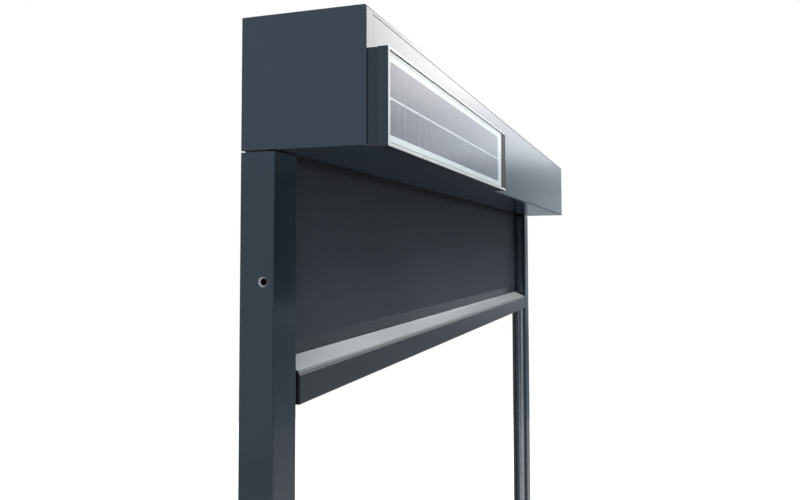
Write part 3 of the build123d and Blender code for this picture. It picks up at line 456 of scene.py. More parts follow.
def ribbon(name, sections, finish, smooth=True):
    """A closed skin over equal rings of points, with both ends filled."""
    size = len(sections[0])
    last = (len(sections) - 1) * size
    points = [point for ring in sections for point in ring]
    faces = []
    for start in range(0, last, size):
        for j in range(size):
            k = (j + 1) % size
            faces.append((start + j, start + k, start + size + k, start + size + j))
    faces.append(tuple(reversed(range(size))))
    faces.append(tuple(last + j for j in range(size)))
    made = piece(name, points, faces, finish, smooth)
    square_up(made)
    return made


def slab(name, columns, rows, front, back, half_width, finish):
    """A thin closed sheet. front and back give the depth at (x, z), half_width the reach at z."""
    points, faces = [], []
    wide, high = len(columns), len(rows)
    for depth in (front, back):
        for z in rows:
            for share in columns:
                x = share * half_width(z)
                points.append((x, depth(x, z), z))
    layer = wide * high
    for j in range(high - 1):
        for i in range(wide - 1):
            a = j * wide + i
            faces.append((a, a + 1, a + wide + 1, a + wide))
            faces.append(tuple(layer + v for v in (a, a + wide, a + wide + 1, a + 1)))
    rim = list(range(wide))
    rim += [j * wide + wide - 1 for j in range(1, high)]
    rim += [(high - 1) * wide + i for i in reversed(range(wide - 1))]
    rim += [j * wide for j in reversed(range(1, high - 1))]
    for i, a in enumerate(rim):
        b = rim[(i + 1) % len(rim)]
        faces.append((b, a, layer + a, layer + b))
    made = piece(name, points, faces, finish)
    square_up(made)
    return made


# Finishes

def powder_coat(name, colour, roughness):
    """Satin powder coat: orange peel and faint mottling."""
    finish = Finish(name, colour, roughness)
    finish.tint(finish.cloud(scale=220.0, detail=3.0), low=0.93, high=1.07)
    finish.gloss(finish.cloud(scale=9.0, detail=3.0), roughness - 0.03, roughness + 0.04)
    finish.relief(finish.cloud(scale=380.0), depth=0.000008, strength=0.2)
    return finish.done()


def satin_face(name, colour, roughness=0.3, shine=0.5, sheen=None):
    """Satin face with fine lines along the profile.

    Sheen paints a lighter stretch on it, a painted highlight. It holds the places along X where the
    stretch starts, is full, starts to fade and ends.
    """
    finish = Finish(name, colour, roughness)
    finish.shade(Specular_IOR_Level=shine)
    lines = finish.cloud(detail=3.0, place=finish.stretched(5.0, 1400.0, 1400.0))
    if sheen:
        # Painted highlight: a lighter stretch along X, added to the fine lines.
        line_share, painted_highlight_share = 0.4, 0.6
        stretch = finish.calc("MULTIPLY", finish.span(finish.along("X"), *sheen), painted_highlight_share)
        finish.tint(finish.calc("MULTIPLY_ADD", lines, line_share, stretch), low=0.84, high=1.18)
    else:
        finish.tint(lines, low=0.92, high=1.06)
    clouds = finish.cloud(scale=5.0, place=finish.stretched(1.0, 8.0, 8.0))
    finish.gloss(clouds, roughness - 0.06, roughness + 0.06)
    finish.relief(lines, depth=0.000008, strength=0.35)
    return finish.done()


def moulded_plastic(name, colour, roughness=0.5, grain=1400.0):
    """Moulded plastic with a fine spark-eroded grain."""
    finish = Finish(name, colour, roughness)
    grains = finish.add("ShaderNodeTexVoronoi", Scale=grain, Vector=finish.place)
    finish.tint(finish.cloud(scale=60.0, detail=3.0), low=0.85, high=1.2)
    finish.gloss(finish.cloud(scale=25.0), roughness - 0.06, roughness + 0.08)
    finish.relief(grains.outputs["Distance"], depth=0.00003, strength=0.5, edge=0.0004)
    return finish.done()


def glide_strip(colour):
    """Bright-faced strip with faint draw lines down the rail."""
    finish = Finish("glide_strip", colour, roughness=0.18, metallic=1.0)
    lines = finish.cloud(place=finish.stretched(900.0, 900.0, 3.0))
    finish.tint(lines, low=0.9, high=1.08)
    finish.gloss(finish.cloud(scale=12.0), low=0.14, high=0.24)
    finish.relief(lines, depth=0.00001, strength=0.25)
    return finish.done()


def zinc_plate(name, colour):
    """Plated sheet steel with clouded crystals."""
    finish = Finish(name, colour, roughness=0.36, metallic=1.0)
    finish.tint(finish.flecks(160.0, "Red"), low=0.82, high=1.14)
    finish.gloss(finish.cloud(scale=40.0, detail=3.0), low=0.28, high=0.46)
    finish.relief(finish.cloud(scale=300.0), depth=0.00001, strength=0.4, edge=0.0003)
    return finish.done()


def drawn_aluminium(name, colour, stretch, metallic=1.0):
    """Mill finish with drawing lines. Stretch is the scale of the lines along each axis."""
    finish = Finish(name, colour, roughness=0.34, metallic=metallic)
    lines = finish.cloud(detail=3.0, place=finish.stretched(*stretch))
    finish.tint(lines, low=0.84, high=1.08)
    finish.gloss(lines, low=0.26, high=0.44)
    finish.relief(lines, depth=0.00001, strength=0.5, edge=0.0003)
    return finish.done()


def ground_steel():
    """Ground and polished bearing steel."""
    finish = Finish("ground_steel", (0.55, 0.56, 0.58), roughness=0.12, metallic=1.0)
    rings = finish.cloud(place=finish.stretched(3500.0, 60.0, 60.0))
    finish.tint(rings, low=0.9, high=1.06)
    finish.gloss(rings, low=0.08, high=0.18)
    return finish.done()


def tube_paint():
    """Smooth grey paint of the motor tube with faint scuffs."""
    finish = Finish("tube_paint", (0.10, 0.105, 0.11), roughness=0.38)
    scuffs = finish.cloud(detail=4.0, place=finish.stretched(40.0, 700.0, 700.0))
    finish.tint(scuffs, low=0.85, high=1.18)
    finish.gloss(scuffs, low=0.3, high=0.5)
    finish.relief(finish.cloud(scale=600.0), depth=0.00001, strength=0.4)
    return finish.done()


def wire_winding():
    """Enamelled copper turns between laminations."""
    finish = Finish("wire_winding", (0.42, 0.16, 0.06), roughness=0.32, metallic=0.9)
    turns = finish.stripes("X", 420.0, Distortion=1.2, Detail=1.0)
    finish.tint(turns, low=0.45, high=1.25)
    finish.relief(turns, depth=0.0002, strength=0.8)
    return finish.done()


def shrink_sleeve(name, colour):
    """Shrunk film with slight puckers."""
    finish = Finish(name, colour, roughness=0.28)
    puckers = finish.cloud(detail=3.0, place=finish.stretched(35.0, 160.0, 160.0))
    finish.tint(puckers, low=0.88, high=1.12)
    finish.gloss(puckers, low=0.2, high=0.38)
    finish.relief(puckers, depth=0.00015, strength=0.5)
    return finish.done()


def screen_weave(name, colour, spacing, slot=None):
    """Coated glass-fibre weave: crossing threads, uneven tension bands and a dull sheen.

    Where the height of the slot is given, shade is painted on the threads from just below it
    upwards, where the cassette shades the screen.
    """
    finish = Finish(name, colour, roughness=0.62)
    rate = TURN / (WAVE_RATE * spacing)
    warp, weft = finish.stripes("X", rate), finish.stripes("Z", rate)
    checks = finish.add("ShaderNodeTexChecker", Scale=1.0 / spacing, Vector=finish.place)
    over = checks.outputs["Fac"]
    under = finish.calc("SUBTRACT", 1.0, over)
    threads = finish.calc("ADD", finish.calc("MULTIPLY", warp, over),
                          finish.calc("MULTIPLY", weft, under))
    bands = finish.cloud(detail=3.0, place=finish.stretched(24.0, 1.0, 1.6))
    cross = finish.cloud(detail=3.0, place=finish.stretched(1.2, 1.0, 46.0))
    thread_share, band_share, cross_share = 0.5, 0.3, 0.2
    uneven = finish.calc("MULTIPLY_ADD", bands, band_share,
                         finish.calc("MULTIPLY", cross, cross_share))
    shade = finish.calc("MULTIPLY_ADD", threads, thread_share, uneven)
    woven = finish.toned(shade, low=0.72, high=1.28)
    if slot is not None:
        # Painted shade: the threads darken from just below the slot upwards, as the cassette shades
        # them there.
        slot_shade_start, slot_shade_full, slot_shade_share = slot - 0.0075, slot + 0.002, 0.55
        slot_shade = finish.window(finish.along("Z"), slot_shade_start, slot_shade_full)
        woven = finish.mix(slot_shade, woven, finish.shaded(slot_shade_share))
    finish.shade(Base_Color=woven, Specular_IOR_Level=0.08)
    finish.gloss(threads, low=0.7, high=0.52)
    finish.relief(threads, depth=0.0001, strength=0.55)
    return finish.done()


def welded_hem(colour, spacing):
    """Hem welded flat: the threads show through a smoother skin with fine ribs."""
    finish = Finish("welded_hem", colour, roughness=0.3)
    threads_per_rib, rib_share, patch_share = 2.2, 0.35, 0.65
    ribs = finish.stripes("Z", TURN / (WAVE_RATE * threads_per_rib * spacing))
    patches = finish.cloud(detail=4.0, place=finish.stretched(14.0, 1.0, 90.0))
    shade = finish.calc("MULTIPLY_ADD", ribs, rib_share,
                        finish.calc("MULTIPLY", patches, patch_share))
    finish.tint(shade, low=0.7, high=1.3)
    finish.gloss(patches, low=0.22, high=0.38)
    finish.relief(ribs, depth=0.00003, strength=0.3)
    return finish.done()


def tape_weave(name, colour):
    """Close woven tape and moulded teeth."""
    finish = Finish(name, colour, roughness=0.6)
    ribs = finish.stripes("Z", 520.0, Distortion=0.6)
    finish.tint(ribs, low=0.7, high=1.5)
    finish.gloss(ribs, low=0.48, high=0.7)
    finish.relief(ribs, depth=0.0001, strength=0.6)
    return finish.done()


def cell_foam(colour):
    """Closed-cell foam."""
    finish = Finish("cell_foam", colour, roughness=0.85)
    walls = finish.add("ShaderNodeTexVoronoi", {"feature": "DISTANCE_TO_EDGE"}, Scale=1100.0,
                       Vector=finish.place)
    finish.tint(walls.outputs["Distance"], low=0.6, high=1.5)
    finish.relief(walls.outputs["Distance"], depth=0.0003, strength=0.7)
    return finish.done()


def white_film(colour, low, high, pitch, gap):
    """White backsheet film with a faint emboss and a grey strip under each gap between columns.

    Low and high are the corners of the cells, pitch and gap the spacing of their columns.
    """
    finish = Finish("white_film", colour, roughness=0.45)
    strip_outside, strip_inside, strip_margin, soft = 0.0026, 0.0020, 0.01, 0.0002
    emboss = finish.cloud(scale=420.0)
    from_gap = finish.calc("SUBTRACT", finish.along("X"), low.x - gap / 2)
    strip = finish.window(finish.calc("PINGPONG", from_gap, pitch / 2),
                          strip_outside, strip_inside)
    for axis, start, end in (("X", low.x + strip_margin, high.x - strip_margin),
                             ("Z", low.z, high.z)):
        within = finish.span(finish.along(axis), start, start + soft, end - soft, end)
        strip = finish.calc("MULTIPLY", strip, within)
    clean = finish.toned(finish.cloud(scale=18.0, detail=3.0), low=0.97, high=1.03)
    finish.shade(Base_Color=finish.mix(strip, clean, finish.shaded(0.4)), Specular_IOR_Level=0.0)
    finish.gloss(emboss, low=0.4, high=0.52)
    finish.relief(emboss, depth=0.00002, strength=0.4)
    return finish.done()


def silicon(colour, start, pitch, row_start, row_pitch):
    """Dark cells with crystal flecks, a silver conductor down each one and fine fingers across."""
    finish = Finish("silicon", colour, roughness=0.3)
    wire_edge, wire_core = 0.0006, 0.0003
    finger_half_pitch, finger_edge, finger_core, finger_share = 0.0009, 0.00072, 0.00084, 0.1
    seam_width = 0.0012
    silver_colour = (0.20, 0.21, 0.22)
    fleck = finish.flecks(70.0, "Blue", finish.stretched(1.0, 0.0, 1.0))
    body = finish.toned(fleck, low=0.85, high=1.25)
    x, z, half = finish.along("X"), finish.along("Z"), pitch / 2
    across = finish.calc("PINGPONG", finish.calc("SUBTRACT", x, start), half)
    wire = finish.window(across, half - wire_edge, half - wire_core)
    fingers = finish.calc("PINGPONG", z, finger_half_pitch)
    finger = finish.calc("MULTIPLY", finish.window(fingers, finger_edge, finger_core),
                         finger_share)
    seam = finish.calc("PINGPONG", finish.calc("SUBTRACT", z, row_start), row_pitch / 2)
    inside = finish.window(seam, 0.0, seam_width)
    silver = finish.calc("MULTIPLY", finish.calc("MAXIMUM", wire, finger), inside)
    finish.shade(Base_Color=finish.mix(silver, body, silver_colour), Specular_IOR_Level=0.0)
    finish.gloss(fleck, low=0.3, high=0.5)
    return finish.done()


def front_glass():
    """Clear solar glass with a low-reflection face, open to the lamps above the cells."""
    finish = Finish("front_glass", (0.93, 0.96, 0.97), roughness=0.015)
    finish.shade(Transmission_Weight=1.0, IOR=1.2)
    finish.gloss(finish.cloud(scale=9.0, detail=3.0), low=0.02, high=0.05)
    clear = finish.add("ShaderNodeBsdfTransparent", Color=(0.95, 0.97, 0.97, 1.0))
    shadow = finish.add("ShaderNodeLightPath").outputs["Is Shadow Ray"]
    surface = finish.blend(shadow, finish.shader.outputs[0], clear.outputs[0])
    finish.feed(finish.tree.nodes["Material Output"].inputs["Surface"], surface)
    return finish.done()


# Cloth pieces

class AWNING_OT_screen(bpy.types.Operator):
    """Hanging screen with its welded hem, from the roller down into the bottom bar"""

    bl_idname = "awning.screen"
    bl_label = "Screen and hem"

    def execute(self, context):
        cloth = context.scene.awning_cloth
        low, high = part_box("hanging_screen")
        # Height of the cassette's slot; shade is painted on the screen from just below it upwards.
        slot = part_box("cassette_front_cover")[0].z
        bar_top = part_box("bar_profile")[1].z
        hem_top = bar_top + cloth.hem_height
        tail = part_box("bar_keder")[1].x
        waves_top, waves_grow, side_fade = -0.075, 0.05, 0.08
        waves_across, waves_down = 4.0, 9.0
        hidden_rows, shown_top, bar_gap = [-0.03, -0.06], -0.065, 0.001

        def wave(x, z):
            """Soft waves that die out at the tapes, the cassette and the hem."""
            share = (fade(high.x - abs(x), side_fade) * fade(waves_top - z, waves_grow)
                     * fade(z - hem_top, waves_grow))
            place = Vector((x * waves_across, 0.0, z * waves_down))
            return cloth.ripple * share * noise.noise(place)

        rows = [high.z] + hidden_rows + linear(shown_top, hem_top, 56)
        rows += linear(hem_top, bar_top + bar_gap, 4)[1:] + [bar_top, low.z]
        screen = slab("screen_cloth", linear(-1.0, 1.0, 96), rows,
                      lambda x, z: low.y + wave(x, z), lambda x, z: high.y + wave(x, z),
                      lambda z: high.x if z > bar_top + bar_gap / 2 else tail,
                      screen_weave("screen_weave", cloth.screen_colour, cloth.thread, slot))
        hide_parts("hanging_screen")

        bevel, clearance, sunk, back = 0.003, 0.0006, 0.0001, 0.0003

        def hem_front(x, z):
            """Depth of the hem's front, which slopes back into the screen at its top edge."""
            return low.y + sunk - fade(hem_top - z, bevel) * (cloth.hem_thickness + sunk)

        rows = linear(bar_top + clearance, hem_top - bevel, 10)
        rows += linear(hem_top - bevel, hem_top, 6)[1:]
        hem = slab("screen_hem", linear(-1.0, 1.0, 160), rows,
                   hem_front, lambda x, z: low.y + back, lambda z: tail,
                   welded_hem(cloth.hem_colour, cloth.thread))
        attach(hem, "bottom_bar")
        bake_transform(screen)
        return {"FINISHED"}


class AWNING_OT_zip_tapes(bpy.types.Operator):
    """Zip tapes and their coils on both edges of the screen"""

    bl_idname = "awning.zip_tapes"
    bl_label = "Zip tapes"

    def execute(self, context):
        cloth = context.scene.awning_cloth
        finish = tape_weave("tape_weave", cloth.tape_colour)
        coil_inset, weld_width, coil_room = 0.0012, 0.005, 0.0026
        front_gap, back_gap = 0.0003, 0.0008
        for side, node in zip((-1, 1), both("zip_tape")):
            low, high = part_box(node)
            inner, outer = sorted((abs(low.x), abs(high.x)))
            middle = (low.y + high.y) / 2
            axis_x = outer - coil_inset
            reach = [inner, inner + weld_width, outer - coil_room, axis_x]
            front, back = middle + front_gap, middle + back_gap
            sections = [[(side * x, front, z) for x in reach]
                        + [(side * x, back, z) for x in reversed(reach)]
                        for z in linear(high.z, low.z, 90)]
            tape = ribbon(f"{node}_band", sections, finish, smooth=False)
            rings = self.coil(side, axis_x, middle, low.z, high.z, cloth.tooth_spacing)
            coil = ribbon(f"{node}_coil", rings, finish)
            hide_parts(node)
            for made in (tape, coil):
                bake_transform(made)
        return {"FINISHED"}

    @staticmethod
    def coil(side, axis_x, axis_y, bottom, top, spacing):
        """Rings of points round the wire of a flattened coil that runs down the tape's edge."""
        half_wide, half_deep, wire = 0.00075, 0.00135, 0.00042
        steps, sides = 10, 5
        count = int((top - bottom) / spacing) * steps
        rings = []
        for i in range(count + 1):
            angle = TURN * i / steps
            centre = Vector((side * (axis_x + half_wide * math.cos(angle)),
                             axis_y + half_deep * math.sin(angle),
                             top - wire - (top - bottom - 2 * wire) * i / count))
            ahead = Vector((-side * half_wide * math.sin(angle), half_deep * math.cos(angle),
                            -spacing / TURN)).normalized()
            first = ahead.cross(Vector((0, 0, 1))).normalized()
            second = ahead.cross(first)
            rings.append([centre + wire * (first * math.cos(a) + second * math.sin(a))
                          for a in round_angles(sides)])
        return rings


class AWNING_OT_wound_screen(bpy.types.Operator):
    """Wound part of the screen: a real spiral of layers on the roller tube"""

    bl_idname = "awning.wound_screen"
    bl_label = "Wound screen"

    def execute(self, context):
        cloth = context.scene.awning_cloth
        low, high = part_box("wound_screen")
        tube_low, tube_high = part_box("roller_tube")
        centre_y, centre_z = (low.y + high.y) / 2, (low.z + high.z) / 2
        tube_gap, fabric_share = 0.0002, 0.86
        steps, tail_steps, columns = 72, 10.0, 24
        unevenness, swells, noise_row = 0.004, 5.0, 0.3
        outer = (high.z - low.z) / 2
        inner = (tube_high.z - tube_low.z) / 2 + tube_gap
        turns = int((outer - inner) / cloth.layer)
        thick = cloth.layer * fabric_share
        count = turns * steps
        grow = (outer - inner - thick) / count

        def spiral(i, thickness):
            """A point on the spiral. The thickness over it dies out in the last steps."""
            angle = TURN * i / steps
            radius = inner + grow * i + thickness * min(1.0, (count - i) / tail_steps)
            return centre_y + radius * math.cos(angle), centre_z + radius * math.sin(angle)

        ring = [spiral(i, 0.0) for i in range(count)]
        ring += [spiral(i, thick) for i in reversed(range(count))]
        rows = []
        for share in linear(-1.0, 1.0, columns):
            place = Vector((share * swells, noise_row, 0.0))
            squeeze = min(1.0, 1.0 + unevenness * noise.noise(place))
            rows.append([(high.x * share, centre_y + (y - centre_y) * squeeze,
                          centre_z + (z - centre_z) * squeeze) for y, z in ring])
        roll = ribbon("screen_roll", rows,
                      screen_weave("roll_weave", cloth.screen_colour, cloth.thread))
        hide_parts("wound_screen")
        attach(roll, "roller")
        return {"FINISHED"}


class AWNING_OT_keders(bpy.types.Operator):
    """Keder cords that hold the screen in the roller and in the bottom bar"""

    bl_idname = "awning.keders"
    bl_label = "Keders"

    def execute(self, context):
        finish = tape_weave("keder_cover", context.scene.awning_cloth.tape_colour)
        columns, sides, slack, swells, row_shift = 160, 20, 0.02, 60.0, 90.0
        for node, body in (("roller_keder", "roller"), ("bar_keder", "bottom_bar")):
            low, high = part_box(node)
            centre_y, centre_z = (low.y + high.y) / 2, (low.z + high.z) / 2
            rings = []
            for x in linear(low.x, high.x, columns):
                uneven = swell(x * swells, centre_z * row_shift, 0.0)
                radius = (high.z - low.z) / 2 * (1.0 - slack * uneven)
                rings.append([(x, centre_y + radius * math.cos(a), centre_z + radius * math.sin(a))
                              for a in round_angles(sides)])
            cord = ribbon(f"{node}_cord", rings, finish)
            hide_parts(node)
            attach(cord, body)
        return {"FINISHED"}


class AWNING_OT_foam_strips(bpy.types.Operator):
    """Foam strips that press the zip inserts in both rails"""

    bl_idname = "awning.foam_strips"
    bl_label = "Foam strips"

    def execute(self, context):
        finish = cell_foam(context.scene.awning_cloth.foam_colour)
        deepest, dents_across, dents_along, rows = 0.00025, 300.0, 120.0, 240
        for node in both("insert_spring"):
            low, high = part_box(node)
            middle = (low + high) / 2
            rings = []
            for z in linear(low.z, high.z, rows):
                ring = []
                for x, y in self.outline(low, high):
                    dent = deepest * swell(x * dents_across, y * dents_across, z * dents_along)
                    inward = Vector((middle.x - x, middle.y - y)).normalized() * dent
                    ring.append((x + inward.x, y + inward.y, z))
                rings.append(ring)
            strip = ribbon(f"{node}_foam", rings, finish)
            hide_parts(node)
            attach(strip, "frame")
        return {"FINISHED"}

    @staticmethod
    def outline(low, high):
        """Points round the strip's section, with its corners cut."""
        cut, parts = 0.0007, 3
        xs = linear(low.x + cut, high.x - cut, parts)
        ys = linear(low.y + cut, high.y - cut, parts)
        return ([(x, low.y) for x in xs] + [(high.x, y) for y in ys]
                + [(x, high.y) for x in reversed(xs)] + [(low.x, y) for y in reversed(ys)])


# Finishes on the CAD nodes

class AWNING_OT_coated_profiles(bpy.types.Operator):
    """Powder coat on the cassette, end caps and rails, with bare metal in the drilled side holes"""

    bl_idname = "awning.coated_profiles"
    bl_label = "Coated profiles"

    def execute(self, context):
        looks = context.scene.awning_finishes
        dress(powder_coat("cassette_coat", looks.coat_colour, looks.coat_roughness),
              "cassette_back_profile", "cassette_front_cover", *both("end_cap"))
        dress(powder_coat("rail_coat", looks.rail_colour, looks.coat_roughness),
              *both("rail_base", "rail_cover"))
        bare = drawn_aluminium("drilled_metal", looks.drilled_colour, (1500.0, 300.0, 300.0),
                               metallic=0.4)
        holes = self.side_holes()
        outer_skin, rim_radius, flat = 0.6885, 0.0050, 0.99

        def in_hole(centre, normal):
            """Whether a face stands in a drilled hole and isn't part of the rail's flat side."""
            return (abs(normal.x) < flat and abs(centre.x) > outer_skin
                    and any(math.hypot(centre.y - y, centre.z - z) < rim_radius for y, z in holes))

        for name in both("rail_base"):
            dress_faces(name, bare, in_hole)
        return {"FINISHED"}

    @staticmethod
    def side_holes():
        """Depth and height of the drilled side holes, from the record's mounts."""
        places = []
        for mount in frame["record"]["mounts"]:
            if mount["name"].startswith("side_holes_left"):
                _, y, z = mount["pos_m"]
                half = mount["dims"]["spacing_y_mm"] / 2000
                places += [(y, z - half), (y, z + half)]
        return places


class AWNING_OT_bottom_bar(bpy.types.Operator):
    """Bottom bar: powder coat, satin slope and facet with partly painted highlight, and end caps"""

    bl_idname = "awning.bottom_bar"
    bl_label = "Bottom bar"

    def execute(self, context):
        looks = context.scene.awning_finishes
        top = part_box("bar_profile")[1].z
        slope_bottom, facet_bottom = top - 0.0115, top - 0.0148
        # Painted highlight on the slope: places along X where it starts, is full, starts to fade
        # and ends.
        painted_highlight_span = (-0.62, -0.44, -0.16, 0.20)
        upward, leaning, forward, backward = 0.7, 0.15, -0.5, 0.1
        dress(powder_coat("bar_coat", looks.bar_colour, looks.coat_roughness + 0.1), "bar_profile")
        # Partly painted highlight: the slope and the facet, picked by how far they face upwards,
        # take paler satin colours than the bar's coat.
        slope = satin_face("slope_satin_highlight", looks.slope_colour_and_highlight, roughness=0.22, sheen=painted_highlight_span)
        dress_faces("bar_profile", slope,
                    lambda c, n: n.z > upward and n.y < backward and c.z > slope_bottom)
        facet = satin_face("facet_satin_highlight", looks.facet_colour_and_highlight, roughness=0.36, shine=0.05)
        dress_faces("bar_profile", facet,
                    lambda c, n: (leaning < n.z < upward and n.y < forward
                                  and c.z > facet_bottom))
        dress(moulded_plastic("cap_plastic", looks.cap_colour, roughness=0.4),
              *both("bar_end_cap"))
        return {"FINISHED"}


class AWNING_OT_rail_inserts(bpy.types.Operator):
    """Guide inserts, channel liners, inlets and feet of both rails"""

    bl_idname = "awning.rail_inserts"
    bl_label = "Rail inserts"

    def execute(self, context):
        looks = context.scene.awning_finishes
        insert = moulded_plastic("insert_plastic", looks.plastic_colour, 0.42, grain=900.0)
        dress(insert, *both("zip_insert", "rail_inlet", "rail_foot"))
        dress(glide_strip(looks.liner_colour), *both("channel_liner"))
        return {"FINISHED"}


class AWNING_OT_solar_module(bpy.types.Operator):
    """Solar module: bevelled glass, cells with conductors, film, frame, holder and cover"""

    bl_idname = "awning.solar_module"
    bl_label = "Solar module"

    def execute(self, context):
        looks = context.scene.awning_finishes
        front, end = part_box("solar_frame")[0].y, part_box("solar_frame")[1].x
        rim_back, rim_end, forward = front + 0.0006, end - 0.0035, -0.5
        dress(powder_coat("module_coat", looks.module_colour, looks.coat_roughness), "solar_frame")
        dress_faces("solar_frame", satin_face("module_rim", looks.rim_colour),
                    lambda c, n: n.y < forward and c.y < rim_back and c.x < rim_end)
        low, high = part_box("solar_cells")
        columns, rows, gap = 11, 2, 0.002
        pitch, row_pitch = (high.x - low.x + gap) / columns, (high.z - low.z + gap) / rows
        dress(white_film(looks.backsheet_colour, low, high, pitch, gap), "solar_backsheet")
        dress(silicon(looks.cell_colour, low.x, pitch, low.z, row_pitch), "solar_cells")
        dress(powder_coat("holder_skin", looks.holder_colour, looks.coat_roughness + 0.1),
              "solar_holder")
        dress(moulded_plastic("cover_plastic", (0.016, 0.018, 0.021)), "solar_junction_cover")
        dress(moulded_plastic("grommet_rubber", looks.plastic_colour, 0.7, grain=700.0),
              "cable_grommet")

        low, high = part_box("solar_glass")
        cut, rest = 0.0005, 0.00005
        rings = []
        for y, inset in ((high.y - rest, 0.0), (low.y + cut, 0.0), (low.y, cut)):
            x0, x1, z0, z1 = low.x + inset, high.x - inset, low.z + inset, high.z - inset
            rings.append([(x0, y, z0), (x1, y, z0), (x1, y, z1), (x0, y, z1)])
        glass = ribbon("module_glass_pane", rings, front_glass(), smooth=False)
        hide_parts("solar_glass")
        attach(glass, "frame")
        return {"FINISHED"}


class AWNING_OT_drive(bpy.types.Operator):
    """Roller, motor, bearing and battery inside the cassette"""

    bl_idname = "awning.drive"
    bl_label = "Roller and drive"

    def execute(self, context):
        looks = context.scene.awning_finishes
        dress(drawn_aluminium("roller_mill", looks.aluminium_colour, (4.0, 1500.0, 1500.0)),
              "roller_tube")
        dress(tube_paint(), "motor_body", "motor_gearbox")
        dress(wire_winding(), "motor_winding")
        dress(ground_steel(), "bearing_outer_ring", "bearing_inner_ring", "bearing_balls",
              "idler_pin")
        dress(moulded_plastic("drive_plastic", looks.plastic_colour, 0.46), "motor_head",
              "motor_crown", "drive_wheel", "idler_plug", "battery_end_caps", "battery_clips")
        dress(shrink_sleeve("sleeve_film", (0.018, 0.020, 0.022)), "battery_tube")
        dress(shrink_sleeve("cell_film", (0.03, 0.16, 0.05)), "battery_cells")
        return {"FINISHED"}


class AWNING_OT_fittings(bpy.types.Operator):
    """Side plates, brackets, ballast, shaft and all screws"""

    bl_idname = "awning.fittings"
    bl_label = "Fittings"

    def execute(self, context):
        looks = context.scene.awning_finishes
        dress(zinc_plate("zinc_plate", looks.zinc_colour), "motor_bracket", "idler_bracket",
              "motor_shaft", "bar_ballast", "side_plate_screws", "bracket_screws", "solar_screws")
        dress(zinc_plate("black_zinc", looks.dark_zinc_colour), *both("side_plate"),
              "bar_cap_screws")
        return {"FINISHED"}


# Studio

def lamp(name, place, target, size, power):
    """A square lamp that faces its target."""
    data = bpy.data.lights.new(name, "AREA")
    data.shape = "RECTANGLE"
    data.size = data.size_y = size
    data.energy = power
    made = placed(name, data)
    made.location = place
    made.rotation_euler = (Vector(target) - made.location).to_track_quat("-Z", "Y").to_euler()
    return made


def arc_card(name, finish, distance, headings, heights, columns):
    """An upright stage card, bent round the awning, that shows in reflections alone."""
    angles = linear(math.radians(headings[0]), math.radians(headings[1]), columns)
    points = [(distance * math.cos(a), distance * math.sin(a), z) for z in heights for a in angles]
    wide = columns + 1
    faces = [(i, i + 1, wide + i + 1, wide + i) for i in range(columns)]
    card = piece(name, points, faces, finish)
    card.visible_camera = card.visible_diffuse = False
    card.visible_transmission = card.visible_shadow = False


